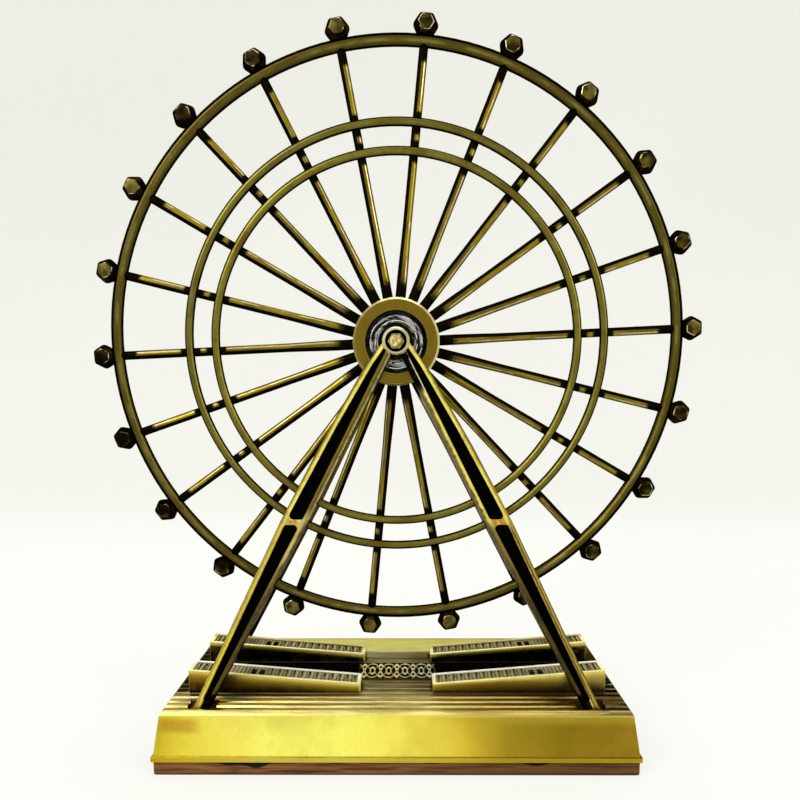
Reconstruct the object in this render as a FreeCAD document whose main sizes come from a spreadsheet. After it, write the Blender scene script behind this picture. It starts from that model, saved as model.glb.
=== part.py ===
"""A desk-top observation wheel: a spoked wheel with 22 capsules on a ball bearing, held between two
leaning A-frames on a hollow cast base with a thin board under it.

Millimetres. The origin is the middle of the underside, +Z is up, the wheel's axle lies along Y,
and the side with the grooved deck and the broad name plate faces -Y.
"""
import FreeCAD, Part
import math
import os

import Sketcher

Vector = FreeCAD.Vector

doc = FreeCAD.newDocument("observation_wheel")

# ---------------------------------------------------------------- driving dimensions
SIZES = [
    # bottom board
    ("board_thick", 4.8, "the thin board that closes the base"),
    ("board_inset_ends", 0.2, "board inside the casting's lip, left and right"),
    ("board_inset_sides", 0.8, "front and back"),
    ("board_corner", 1.5, "radius of its upright corners"),
    # cast base
    ("lip_length", 161.0, "the casting at its very bottom, left to right"),
    ("lip_depth", 78.0, "front to back"),
    ("lip_rise", 1.6, "height of the upright lip round the bottom"),
    ("lip_step", 0.4, "how far the lip stands proud of the sloping walls"),
    ("base_rise", 15.7, "height of the casting above the board"),
    ("wall_lean_ends", 2.5, "deck inside the lip, left and right"),
    ("wall_lean_sides", 3.15, "front and back"),
    ("deck_edge", 0.8, "bevel round the deck"),
    ("deck_thick", 3.0, "wall of the deck"),
    ("base_wall", 2.4, "wall of the sloping sides"),
    # grooves and lattice on the deck
    ("groove_first", 1.25, "from the deck's front edge to the first groove"),
    ("groove_pitch", 3.6, "groove to groove"),
    ("groove_count", 7, "grooves in the front of the deck"),
    ("groove_drop", 0.75, "depth of a groove"),
    ("lattice_row", -0.6, "middle of the lattice strip, front to back"),
    ("lattice_margin", 8.0, "from its ends to the deck's ends"),
    ("lattice_width", 15.2, "front to back"),
    ("lattice_thick", 1.1, "its thickness"),
    ("lattice_sunk", 0.6, "how deep it is let into the deck"),
    ("lattice_border", 0.8, "width of the plain edge round it"),
    ("lattice_field", 0.4, "depth of the field inside that edge"),
    # platforms
    ("front_row", -15.1, "middle of the front pair of platforms, front to back"),
    ("rear_row", 13.3, "middle of the rear pair"),
    ("platform_inner", 12.6, "inner end of a platform from the middle"),
    ("platform_margin", 5.5, "from its outer end to the deck's end"),
    ("platform_width", 9.6, "front to back"),
    ("platform_low", 3.2, "height of the inner end"),
    ("platform_high", 8.2, "height of the outer end"),
    ("platform_lip", 1.2, "raised edge round its top"),
    ("platform_sunk", 0.6, "how far the top lies below that edge"),
    ("slat_first", 15.0, "first slot across the top, from the middle"),
    ("slat_pitch", 2.7, "slot to slot"),
    ("slat_count", 12, "slots"),
    ("slat_width", 0.8, "width of a slot"),
    ("slat_drop", 0.6, "depth of a slot"),
    ("window_first", 47.9, "first of the two wider windows"),
    ("window_pitch", 2.9, "window to window"),
    ("window_count", 2, "windows"),
    ("window_width", 2.0, "width of a window"),
    ("window_length", 5.6, "its length, front to back"),
    ("window_drop", 1.9, "its depth"),
    ("end_slot_inset", 6.5, "first of the end slots, from the platform's outer end"),
    ("end_slot_pitch", 2.0, "slot to slot there"),
    ("end_slot_count", 3, "slots there"),
    ("peg_radius", 1.5, "pegs that locate a platform in the deck"),
    ("peg_inset", 9.0, "pegs from the platform's ends"),
    ("peg_drop", 2.0, "how deep they enter the deck"),
    # wheel
    ("wheel_clear", 14.6, "from the deck to the lowest capsule"),
    ("rim_outer", 99.9, "outer radius of the rim"),
    ("rim_wire", 4.1, "thickness of the rim"),
    ("middle_outer", 73.7, "outer radius of the larger ring"),
    ("middle_wire", 3.0, "its thickness"),
    ("inner_outer", 64.5, "outer radius of the smaller ring"),
    ("inner_wire", 3.0, "its thickness"),
    ("ring_forward", 1.3, "how far both rings lie in front of the spokes"),
    ("spoke_count", 22, "spokes, and capsules"),
    ("spoke_first", 2.6, "degrees from +X up to the first spoke"),
    ("spoke_wire", 3.0, "thickness of a spoke"),
    ("spoke_seat", 1.5, "how deep its ends enter the rim and the barrel"),
    ("capsule_flats", 7.5, "a capsule across its flats"),
    ("capsule_facet", 4.4, "its front and back facets, across the flats"),
    ("capsule_bevel", 0.3, "bevel round those facets"),
    ("capsule_depth", 6.8, "a capsule front to back"),
    ("capsule_belt", 1.4, "width of its upright belt"),
    ("capsule_reach", 6.4, "its outermost flat, outside the rim"),
    # hub
    ("barrel_wall", 2.5, "wall of the hub barrel, round the bearing"),
    ("flange_lip", 1.5, "how far the hub flanges stand out past the barrel"),
    ("flange_thick", 1.5, "their thickness"),
    ("flange_edge", 0.7, "bevel round them"),
    ("flange_overlap", 0.4, "how far they reach over the bearing"),
    # ball bearing
    ("bearing_outer", 11.0, "outer radius of the bearing"),
    ("bearing_bore", 4.0, "radius of its bore"),
    ("bearing_width", 7.0, "its width"),
    ("race_edge", 0.4, "bevel at the races' corners"),
    ("ball_radius", 1.984, "radius of a ball"),
    ("ball_bite", 0.484, "how deep a ball sits in the groove of each race"),
    ("ball_count", 7, "balls"),
    ("ball_play", 0.02, "running clearance of the balls"),
    ("cage_sheet", 1.2, "thickness of the ball cage"),
    ("cage_width", 4.8, "width of the ball cage"),
    ("pocket_play", 0.08, "clearance of a ball in the cage"),
    ("shield_hold", 0.6, "width of the step that seats a shield in the outer race"),
    ("shield_band", 1.2, "width of the lower band round a shield's bore"),
    ("shield_play", 0.15, "gap between a shield and the inner race"),
    ("shield_thick", 0.3, "sheet of the shields"),
    ("shield_dish", 0.3, "height of their step"),
    ("shield_inset", 0.25, "shields below the races' faces"),
    # axle
    ("spacer_wall", 1.4, "wall of the two spacer rings on the axle"),
    ("stud_radius", 1.25, "radius of the axle's two threaded ends"),
    ("stud_short", 0.7, "ends of the axle below the bosses' faces"),
    ("nut_flats", 4.8, "cap nuts across the flats"),
    ("nut_hex", 2.0, "height of their six sides"),
    ("nut_dome", 2.0, "height of the dome on them"),
    ("nut_step", 0.1, "dome's foot inside the flats"),
    # A-frames
    ("boss_proud", 1.0, "bosses in front of the frames"),
    ("boss_edge", 0.4, "bevel round their faces"),
    ("boss_wall", 1.4, "wall round the recess for the cap nut"),
    ("boss_room", 0.45, "room round the cap nut's corners"),
    ("boss_sink_drop", 3.4, "depth of that recess"),
    ("frame_thick", 5.0, "thickness of a frame"),
    ("frame_clear", 1.0, "gap between a frame and the hub's flange"),
    ("frame_margin", 4.05, "outer face of a frame at the deck, from the deck's edge"),
    ("frame_edge", 0.4, "bevel of the legs' edges"),
    ("haunch_drop", 10.2, "first bend of a leg's outer edge, below the axle"),
    ("haunch_out", 11.6, "that bend from the middle"),
    ("shin_drop", 35.5, "second bend of a leg's outer edge"),
    ("shin_out", 26.1, "that bend from the middle"),
    ("knee_drop", 60.0, "bridge of a leg, below the axle"),
    ("knee_out", 39.0, "leg's outer edge there"),
    ("knee_in", 29.7, "leg's inner edge there"),
    ("crotch_drop", 4.6, "where the legs part under the boss"),
    ("crotch_out", 1.9, "leg's inner edge there"),
    ("leg_root", 4.2, "leg's outer edge level with the axle"),
    ("leg_start", 1.05, "leg's inner top corner, inside the boss"),
    ("foot_margin", 10.2, "leg's outer edge at the deck, from the deck's end"),
    ("foot_width", 5.2, "leg at the deck, measured level"),
    ("rib_out", 2.15, "rib along the outer edge, measured level"),
    ("rib_in", 2.4, "rib along the inner edge, measured level"),
    ("rib_in_foot", 1.7, "the same at the foot"),
    ("recess_drop", 2.8, "depth of the two panels between the ribs"),
    ("recess_top", 2.4, "upper end of the upper panel, inside the boss"),
    ("recess_lift", 2.4, "lower end of the lower panel, above the deck"),
    ("recess_corner", 0.5, "radius of the corners at that end"),
    ("bridge_corner", 1.1, "radius of the corners at the web between the panels"),
    ("bridge_half", 1.15, "half of that web"),
    ("socket_length", 9.8, "pocket in the deck for a foot, left to right"),
    ("socket_room", 2.2, "how much deeper than the frame it is, front to back"),
    ("socket_drop", 2.4, "its depth"),
    ("socket_pad", 3.0, "metal added under the deck there"),
    ("socket_wall", 1.5, "and round the pocket"),
    # fasteners
    ("foot_stud", 1.2, "radius of the studs under the feet"),
    ("foot_stud_shift", 0.6, "studs outward of the foot's middle at the deck"),
    ("foot_stud_root", 2.0, "how far a stud is let into its foot"),
    ("foot_stud_tail", 0.5, "how far it shows past its nut"),
    ("foot_nut_flats", 4.5, "nuts on those studs, across the flats"),
    ("foot_nut_height", 1.9, "their height"),
    ("board_screw", 1.25, "radius of the screws through the board"),
    ("board_screw_head", 2.8, "radius of their countersunk heads"),
    ("board_screw_cone", 1.5, "height of their heads"),
    ("board_screw_bite", 6.0, "how far they enter the posts"),
    ("driver_slot", 0.7, "width of the cross in their heads"),
    ("driver_reach", 3.2, "length of the cross"),
    ("driver_drop", 0.9, "depth of the cross"),
    ("post_radius", 3.2, "posts that take the board screws"),
    ("post_across", 46.0, "posts from the middle, left and right"),
    ("post_along", 26.0, "posts from the middle, front and back"),
    # cutting shapes
    ("overcut", 1.0, "how far a cutting shape runs past the face it cuts"),
]

sheet = doc.addObject("Spreadsheet::Sheet", "Sizes")
for line, (alias, value, meaning) in enumerate(SIZES, 1):
    sheet.set(f"A{line}", alias)
    sheet.set(f"B{line}", str(value))
    sheet.setAlias(f"B{line}", alias)
    sheet.set(f"C{line}", meaning)
doc.recompute()


def count(alias):
    """The whole number that the sheet holds under that alias."""
    return int(sheet.get(alias))


class Words(dict):
    """The words a formula may hold in braces: a cell of the sheet, or a value worked out below."""

    def __missing__(self, alias):
        return f"Sizes.{alias}"


WORDS = Words()


def formula(text):
    """Writes out a formula, with each {word} replaced by the cell or value it stands for."""
    return text.format_map(WORDS)


# ---------------------------------------------------------------- worked-out values
WORDS["board_length"] = formula("({lip_length} - 2 * {board_inset_ends})")
WORDS["board_depth"] = formula("({lip_depth} - 2 * {board_inset_sides})")
WORDS["deck_length"] = formula("({lip_length} - 2 * {wall_lean_ends})")
WORDS["deck_depth"] = formula("({lip_depth} - 2 * {wall_lean_sides})")
WORDS["deck_top"] = formula("({board_thick} + {base_rise})")
WORDS["deck_under"] = formula("({deck_top} - {deck_thick})")
WORDS["lattice_length"] = formula("({deck_length} - 2 * {lattice_margin})")
WORDS["platform_outer"] = formula("({deck_length} / 2 - {platform_margin})")
WORDS["platform_slope"] = formula(
    "(({platform_high} - {platform_low}) / ({platform_outer} - {platform_inner}))")
WORDS["tray_width"] = formula("({platform_width} - 2 * {platform_lip})")
WORDS["end_slot_first"] = formula("({platform_outer} - {end_slot_inset})")
WORDS["axle_rise"] = formula("({rim_outer} + {capsule_reach} + {wheel_clear})")
WORDS["axle_up"] = formula("({deck_top} + {axle_rise})")
WORDS["barrel_outer"] = formula("({bearing_outer} + {barrel_wall})")
WORDS["flange_outer"] = formula("({barrel_outer} + {flange_lip})")
WORDS["half_race"] = formula("({bearing_width} / 2)")
WORDS["hub_face"] = formula("({half_race} + {flange_thick})")
WORDS["ball_circle"] = formula("(({bearing_outer} + {bearing_bore}) / 2)")
WORDS["inner_land"] = formula("({ball_circle} - {ball_radius} + {ball_bite})")
WORDS["outer_land"] = formula("({ball_circle} + {ball_radius} - {ball_bite})")
WORDS["cage_inner"] = formula("({ball_circle} - {cage_sheet} / 2)")
WORDS["cage_outer"] = formula("({ball_circle} + {cage_sheet} / 2)")
WORDS["shield_face"] = formula("({half_race} - {shield_inset})")
WORDS["shield_seat"] = formula("({outer_land} + {shield_hold})")
WORDS["shield_bore"] = formula("({inner_land} + {shield_play})")
WORDS["shield_step"] = formula("({shield_bore} + {shield_band})")
WORDS["rim_inner"] = formula("({rim_outer} - {rim_wire})")
WORDS["spoke_root"] = formula("({barrel_outer} - {spoke_seat})")
WORDS["spacer_outer"] = formula("({bearing_bore} + {spacer_wall})")
WORDS["boss_sink"] = formula("({nut_flats} / 2 / cos(30) + {boss_room})")
WORDS["boss_outer"] = formula("({boss_sink} + {boss_wall})")
WORDS["frame_top"] = formula("({hub_face} + {frame_clear} + {frame_thick})")
WORDS["frame_foot"] = formula("({deck_depth} / 2 - {frame_margin})")
WORDS["lean"] = formula("atan(({frame_foot} - {frame_top}) / {axle_rise})")
WORDS["boss_front"] = formula("({frame_top} + {boss_proud})")
WORDS["boss_floor"] = formula("({boss_front} - {boss_sink_drop})")
WORDS["stud_reach"] = formula("({boss_front} - {stud_short})")
WORDS["foot_out"] = formula("({deck_length} / 2 - {foot_margin})")
WORDS["foot_in"] = formula("({foot_out} - {foot_width})")
WORDS["foot_x"] = formula("({foot_out} - {foot_width} / 2)")
WORDS["foot_y"] = formula("({frame_foot} - {frame_thick} / 2)")
WORDS["foot_stud_x"] = formula("({foot_x} + {foot_stud_shift})")
WORDS["socket_depth"] = formula("({frame_thick} + {socket_room})")
WORDS["socket_floor"] = formula("({deck_top} - {socket_drop})")
WORDS["pad_under"] = formula("({deck_under} - {socket_pad})")


# ---------------------------------------------------------------- helpers
def bind(item, **formulas):
    """Ties properties of an object to formulas."""
    for name, text in formulas.items():
        item.setExpression(name, formula(text))
    return item


def put(item, across="0", along="0", up="0", axis="0; 0; 1", angle="0"):
    """Places an object at (across, along, up), turned by an angle about an axis."""
    item.setExpression("Placement", formula(
        f"placement(vector({across}; {along}; {up}); rotation(vector({axis}); {angle}))"))
    return item


def put_on_axle(item, along="0"):
    """Places an object made along its own Z on the axle, with that Z pointing to +Y."""
    return put(item, "0", along, "{axle_up}", "1; 0; 0", "0 - 90")


def block(name, length, width, height, across="0", along="0", up="0"):
    """A box centred on (across, along) that stands at the height 'up'."""
    box = bind(doc.addObject("Part::Box", name), Length=length, Width=width, Height=height)
    return put(box, f"({across}) - ({length}) / 2", f"({along}) - ({width}) / 2", up)


def rod(name, radius, height, across="0", along="0", up="0"):
    """An upright cylinder that starts at the height 'up'."""
    cylinder = bind(doc.addObject("Part::Cylinder", name), Radius=radius, Height=height)
    return put(cylinder, across, along, up)


def hexagon(name, flats, height):
    """A six-sided prism, given across its flats."""
    prism = doc.addObject("Part::Prism", name)
    prism.Polygon = 6
    return bind(prism, Circumradius=f"({flats}) / 2 / cos(30)", Height=height)


def torus(name, outer, wire):
    """A ring of round wire, given by its outer radius and its thickness."""
    return bind(doc.addObject("Part::Torus", name),
                Radius1=f"({outer}) - ({wire}) / 2", Radius2=f"({wire}) / 2")


def frustum(name, low, high, height, up):
    """A block whose bottom and top rectangles, (length, depth) pairs, differ."""
    wedge = doc.addObject("Part::Wedge", name)
    bind(wedge, Ymin="0", Ymax=height,
         Xmin=f"0 - ({low[0]}) / 2", Xmax=f"({low[0]}) / 2",
         Zmin=f"0 - ({low[1]}) / 2", Zmax=f"({low[1]}) / 2",
         X2min=f"0 - ({high[0]}) / 2", X2max=f"({high[0]}) / 2",
         Z2min=f"0 - ({high[1]}) / 2", Z2max=f"({high[1]}) / 2")
    return put(wedge, "0", "0", up, "1; 0; 0", "90")


def fuse(name, parts):
    """Joins parts into one solid."""
    joined = doc.addObject("Part::MultiFuse", name)
    joined.Shapes = list(parts)
    return joined


def group(name, parts):
    """Keeps several separate solids together."""
    together = doc.addObject("Part::Compound", name)
    together.Links = list(parts)
    return together


def cut(name, base, tool):
    """Takes one shape away from another."""
    result = doc.addObject("Part::Cut", name)
    result.Base = base
    result.Tool = tool
    return result


def mirror(name, source, normal):
    """The mirror image of an object across a plane through the origin."""
    image = doc.addObject("Part::Mirroring", name)
    image.Source = source
    image.Normal = normal
    return image


FIRST_GUESS = 50                 # radius of the circle on which a sketch's corners start
TINY = 0.001                     # lengths below this count as nothing
LEFT_RIGHT = Vector(1, 0, 0)
FRONT_BACK = Vector(0, 1, 0)
FOUR_CORNERS = [("", ""), ("0 - ", ""), ("", "0 - "), ("0 - ", "0 - ")]
SKETCH_H, SKETCH_V = -1, -2      # a sketch's own two axes


def at_corners(make, across, along):
    """Calls make(number, x, y) for the four places (+-across, +-along)."""
    return [make(k, f"{left}({across})", f"{front}({along})")
            for k, (left, front) in enumerate(FOUR_CORNERS, 1)]


def outline(body, name, corners, plane="XY_Plane", offset="0"):
    """A closed polygon sketch in a body, whose corners are (formula, formula) pairs."""
    sketch = body.newObject("Sketcher::SketchObject", name)
    origin_plane = [each for each in body.Origin.OriginFeatures if each.Role == plane][0]
    sketch.AttachmentSupport = [(origin_plane, "")]
    sketch.MapMode = "FlatFace"
    sketch.setExpression("AttachmentOffset.Base.z", formula(offset))
    total = len(corners)
    turns = [2 * math.pi * k / total for k in range(total)]
    ring = [Vector(math.cos(turn), math.sin(turn), 0) * FIRST_GUESS for turn in turns]
    for k in range(total):
        sketch.addGeometry(Part.LineSegment(ring[k], ring[(k + 1) % total]), False)
    for k in range(total):
        sketch.addConstraint(Sketcher.Constraint("Coincident", k, 2, (k + 1) % total, 1))
    for k, (across, up) in enumerate(corners):
        for kind, text, start, axis in (("DistanceX", across, ring[k].x, SKETCH_V),
                                        ("DistanceY", up, ring[k].y, SKETCH_H)):
            if text == "0":
                sketch.addConstraint(Sketcher.Constraint("PointOnObject", k, 1, axis))
                continue
            place = sketch.addConstraint(Sketcher.Constraint(kind, -1, 1, k, 1, start))
            sketch.setExpression(f"Constraints[{place}]", formula(text))
    return sketch


def slab(name, corners, thick, plane="XY_Plane", offset="0", midplane=False):
    """A body padded from a polygon."""
    body = doc.addObject("PartDesign::Body", name)
    pad = body.newObject("PartDesign::Pad", f"{name}_pad")
    pad.Profile = outline(body, f"{name}_sketch", corners, plane, offset)
    pad.Midplane = midplane
    bind(pad, Length=thick)
    doc.recompute()
    return body


def turned(name, corners):
    """A body turned about the axle from a section of (radius, distance along Y) corners."""
    body = doc.addObject("PartDesign::Body", name)
    section = outline(body, f"{name}_sketch", corners)
    turn = body.newObject("PartDesign::Revolution", f"{name}_turn")
    turn.Profile = section
    turn.ReferenceAxis = (section, ["V_Axis"])
    turn.Angle = 360
    return put(body, up="{axle_up}")


def dress(body, kind, edges, amount):
    """Adds a fillet or a chamfer to named edges or faces of a body."""
    base = body.Tip
    feature = body.newObject(f"PartDesign::{kind}", f"{body.Name}_{kind.lower()}")
    feature.Base = (base, edges)
    bind(feature, **{"Radius" if kind == "Fillet" else "Size": amount})
    doc.recompute()
    return feature


def upright_edges(shape):
    """The straight edges of a body that run along its own Z, as (name, middle, length)."""
    found = []
    for k, edge in enumerate(shape.Edges, 1):
        run = edge.Vertexes[-1].Point - edge.Vertexes[0].Point
        if run.Length > TINY and math.hypot(run.x, run.y) < TINY * run.Length:
            found.append((f"Edge{k}", edge.CenterOfMass, run.Length))
    return found


def top_face(shape):
    """Name of the flat face that lies highest along a body's own Z."""
    heights = [face.CenterOfMass.z for face in shape.Faces]
    return f"Face{heights.index(max(heights)) + 1}"


# ---------------------------------------------------------------- base
def make_board_screws():
    """Four countersunk screws from below, flush with the board, that end in the base's posts."""
    def screw(k, across, along):
        shank = rod(f"screw_shank_{k}", "{board_screw}", "{board_thick} + {board_screw_bite}",
                    across, along)
        head = bind(doc.addObject("Part::Cone", f"screw_head_{k}"),
                    Radius1="{board_screw_head}", Radius2="{board_screw}",
                    Height="{board_screw_cone}")
        return fuse(f"screw_{k}", [shank, put(head, across, along)])

    def cross(k, across, along):
        bars = [block(f"driver_bar_{k}a", "{driver_reach}", "{driver_slot}", "{driver_drop}",
                      across, along),
                block(f"driver_bar_{k}b", "{driver_slot}", "{driver_reach}", "{driver_drop}",
                      across, along)]
        return fuse(f"driver_cross_{k}", bars)

    blanks = group("screw_blanks", at_corners(screw, "{post_across}", "{post_along}"))
    crosses = group("driver_crosses", at_corners(cross, "{post_across}", "{post_along}"))
    return blanks, cut("board_screws", blanks, crosses)


def make_board(screws):
    """The thin board, with rounded upright corners and its four screw holes."""
    half_x = "{board_length} / 2"
    half_y = "{board_depth} / 2"
    corners = [(f"0 - {half_x}", f"0 - {half_y}"), (half_x, f"0 - {half_y}"),
               (half_x, half_y), (f"0 - {half_x}", half_y)]
    blank = slab("board_blank", corners, "{board_thick}")
    corner_edges = [name for name, middle, length in upright_edges(blank.Tip.Shape)]
    dress(blank, "Fillet", corner_edges, "{board_corner}")
    return cut("bottom_board", blank, screws)


def make_base(screws, platform_pegs):
    """The hollow casting: lip, sloping walls, grooved deck, and the seats for all it carries."""
    wall_foot = ("{lip_length} - 2 * {lip_step}", "{lip_depth} - 2 * {lip_step}")
    deck = ("{deck_length}", "{deck_depth}")
    bevelled = ("{deck_length} - 2 * {deck_edge}", "{deck_depth} - 2 * {deck_edge}")
    room_foot = [f"{side} - 2 * {{base_wall}}" for side in wall_foot]
    room_top = [f"{side} - 2 * {{base_wall}}" for side in deck]
    shell = cut("base_shell", fuse("base_block", [
        block("base_lip", "{lip_length}", "{lip_depth}", "{lip_rise}", up="{board_thick}"),
        frustum("base_walls", wall_foot, deck, "{base_rise} - {deck_edge}", "{board_thick}"),
        frustum("base_bevel", deck, bevelled, "{deck_edge}", "{deck_top} - {deck_edge}"),
    ]), frustum("base_room", room_foot, room_top, "{base_rise} - {deck_thick}",
                "{board_thick}"))

    def post(k, across, along):
        return rod(f"base_post_{k}", "{post_radius}", "{base_rise} - {deck_thick} / 2",
                   across, along, "{board_thick}")

    def pad(k, across, along):
        return block(f"socket_pad_{k}", "{socket_length} + 2 * {socket_wall}",
                     "{socket_depth} + 2 * {socket_wall}", "{socket_pad} + {deck_thick} / 2",
                     across, along, "{pad_under}")

    solid = fuse("base_solid", [shell]
                 + at_corners(post, "{post_across}", "{post_along}")
                 + at_corners(pad, "{foot_x}", "{foot_y}"))

    def groove(k):
        side = "2 * {groove_drop} / cos(45)"
        bar = bind(doc.addObject("Part::Box", f"groove_{k}"), Length="{lip_length}",
                   Width=side, Height=side)
        along = f"{{groove_first}} - {{deck_depth}} / 2 + {{groove_pitch}} * {k}"
        return put(bar, "0 - {lip_length} / 2", along, "{deck_top} - {groove_drop}",
                   "1; 0; 0", "45")

    def socket(k, across, along):
        return block(f"socket_{k}", "{socket_length}", "{socket_depth}", "{socket_drop} + {overcut}",
                     across, along, "{socket_floor}")

    def stud_hole(k, across, along):
        return rod(f"stud_hole_{k}", "{foot_stud}", "{base_rise}", across, along,
                   "{board_thick}")

    bed = block("lattice_bed", "{lattice_length}", "{lattice_width}", "{lattice_sunk} + {overcut}",
                along="{lattice_row}", up="{deck_top} - {lattice_sunk}")
    tools = ([groove(k) for k in range(count("groove_count"))] + [bed]
             + at_corners(socket, "{foot_x}", "{foot_y}")
             + at_corners(stud_hole, "{foot_stud_x}", "{foot_y}"))
    drilled = cut("base_drilled", solid, group("base_cutters", tools))
    return cut("base_casting", drilled, group("base_fasteners", [screws] + platform_pegs))


def make_lattice():
    """The strip between the platforms: a plain edge round a sunk field."""
    plate = block("lattice_plate", "{lattice_length}", "{lattice_width}", "{lattice_thick}",
                  along="{lattice_row}", up="{deck_top} - {lattice_sunk}")
    field = block("lattice_field_cut", "{lattice_length} - 2 * {lattice_border}",
                  "{lattice_width} - 2 * {lattice_border}", "{overcut}", along="{lattice_row}",
                  up="{deck_top} - {lattice_sunk} + {lattice_thick} - {lattice_field}")
    return cut("lattice_strip", plate, field)


def make_platform(row):
    """The right-hand platform of a row: a low wedge with a slatted tray on top, on two pegs."""
    middle = f"{{{row}_row}}"
    pegs = group(f"{row}_pegs", [
        rod(f"{row}_peg_{k}", "{peg_radius}", "{peg_drop} + {overcut}", across, middle,
            "{deck_top} - {peg_drop}")
        for k, across in enumerate(("{platform_inner} + {peg_inset}",
                                    "{platform_outer} - {peg_inset}"), 1)])

    def top(across, drop="0"):
        """Height at a distance from the middle, the given drop under the top's edge."""
        return (f"{{deck_top}} + {{platform_low}} - ({drop})"
                f" + {{platform_slope}} * (({across}) - {{platform_inner}})")

    wedge = slab(f"{row}_wedge", [
        ("{platform_inner}", "{deck_top}"), ("{platform_outer}", "{deck_top}"),
        ("{platform_outer}", top("{platform_outer}")),
        ("{platform_inner}", top("{platform_inner}"))],
        "{platform_width}", "XZ_Plane", midplane=True)
    put(wedge, along=middle)
    tray_start = "{platform_inner} + {platform_lip}"
    tray_end = "{platform_outer} - {platform_lip}"
    tray = slab(f"{row}_tray", [
        (tray_start, top(tray_start, "{platform_sunk}")),
        (tray_end, top(tray_end, "{platform_sunk}")),
        (tray_end, top(tray_end, "0 - {overcut}")),
        (tray_start, top(tray_start, "0 - {overcut}"))],
        "{tray_width}", "XZ_Plane", midplane=True)
    put(tray, along=middle)

    def slots(kind, width, length, drop):
        first, pitch = f"{{{kind}_first}}", f"{{{kind}_pitch}}"
        places = [f"{first} + {pitch} * {k}" for k in range(count(f"{kind}_count"))]
        return [block(f"{row}_{kind}_{k}", width, length, "2 * {window_drop}", across, middle,
                      top(across, f"{{platform_sunk}} + {drop}"))
                for k, across in enumerate(places, 1)]

    openings = group(f"{row}_openings", [tray]
                     + slots("slat", "{slat_width}", "{tray_width}", "{slat_drop}")
                     + slots("window", "{window_width}", "{window_length}", "{window_drop}")
                     + slots("end_slot", "{slat_width}", "{tray_width}", "{slat_drop}"))
    body = fuse(f"{row}_body", [wedge, pegs])
    return cut(f"platform_{row}_right", body, openings), pegs


# ---------------------------------------------------------------- A-frames
# Corners of a leg as (from the middle, below the axle) pairs.
ROOT = ("{leg_root}", "0")
HAUNCH = ("{haunch_out}", "{haunch_drop}")
SHIN = ("{shin_out}", "{shin_drop}")
KNEE_OUT = ("{knee_out}", "{knee_drop}")
FOOT_OUT = ("{foot_out}", "{axle_rise}")
CROTCH = ("{crotch_out}", "{crotch_drop}")
KNEE_IN = ("{knee_in}", "{knee_drop}")
FOOT_IN = ("{foot_in}", "{axle_rise}")


def along_line(first, last, drop, inset="0"):
    """The point of the line through two corners at a given drop, moved sideways by an inset."""
    slope = f"(({last[0]}) - ({first[0]})) / (({last[1]}) - ({first[1]}))"
    return f"({first[0]}) + {slope} * (({drop}) - ({first[1]})) + ({inset})", drop


def leaning(corners):
    """The same corners measured down the leaning plane of a frame."""
    return [(across, "0" if drop == "0" else f"0 - ({drop}) / cos({{lean}})")
            for across, drop in corners]


def sink_panel(leg, name, corners, foot_corner, top_corner=None):
    """Cuts one panel into a leg's outer face and rounds the corners at its ends."""
    before = leg.Tip.Shape.Volume
    pocket = leg.newObject("PartDesign::Pocket", name)
    sketch = outline(leg, f"{name}_sketch", leaning(corners))
    pocket.Profile = sketch
    bind(pocket, Length="{recess_drop}")
    doc.recompute()
    if not pocket.Shape.Volume < before:
        raise RuntimeError(f"{name} cuts nothing")
    ends = sketch.Shape.BoundBox
    for end, radius in ((ends.YMin, foot_corner), (ends.YMax, top_corner)):
        if radius:
            corner_edges = [edge for edge, middle, length in upright_edges(leg.Tip.Shape)
                            if abs(middle.y - end) < TINY]
            dress(leg, "Fillet", corner_edges, radius)


def make_leg():
    """The right leg of the front frame, cut off level where it stands in its socket."""
    low = "{axle_rise} + {socket_drop} + {overcut}"
    leg = slab("leg", leaning([
        ("{leg_start}", "{leg_start}"), ROOT, HAUNCH, SHIN, KNEE_OUT,
        along_line(KNEE_OUT, FOOT_OUT, low), along_line(KNEE_IN, FOOT_IN, low),
        KNEE_IN, CROTCH]), "{frame_thick}", offset="0 - {frame_thick}")
    above_bridge = "{knee_drop} - {bridge_half}"
    below_bridge = "{knee_drop} + {bridge_half}"
    foot_end = "{axle_rise} - {recess_lift}"
    out = "0 - {rib_out}"
    sink_panel(leg, "upper_panel", [
        along_line(CROTCH, KNEE_IN, "{recess_top}", "{rib_in}"),
        along_line(ROOT, HAUNCH, "{recess_top}", out),
        along_line(ROOT, HAUNCH, "{haunch_drop}", out),
        along_line(HAUNCH, SHIN, "{shin_drop}", out),
        along_line(SHIN, KNEE_OUT, above_bridge, out),
        along_line(CROTCH, KNEE_IN, above_bridge, "{rib_in}")],
        "{bridge_corner}")
    sink_panel(leg, "lower_panel", [
        along_line(KNEE_IN, FOOT_IN, below_bridge, "{rib_in}"),
        along_line(KNEE_OUT, FOOT_OUT, below_bridge, out),
        along_line(KNEE_OUT, FOOT_OUT, foot_end, out),
        along_line(KNEE_IN, FOOT_IN, foot_end, "{rib_in_foot}")],
        "{recess_corner}", "{bridge_corner}")
    dress(leg, "Chamfer", [top_face(leg.Tip.Shape)], "{frame_edge}")
    put(leg, "0", "0 - {frame_top}", "{axle_up}", "1; 0; 0", "90 deg - {lean}")
    floor = block("foot_floor", "{lip_length}", "{lip_depth}", "{base_rise}",
                  up="{socket_floor} - {base_rise}")
    return cut("level_leg", leg, floor)


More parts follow.
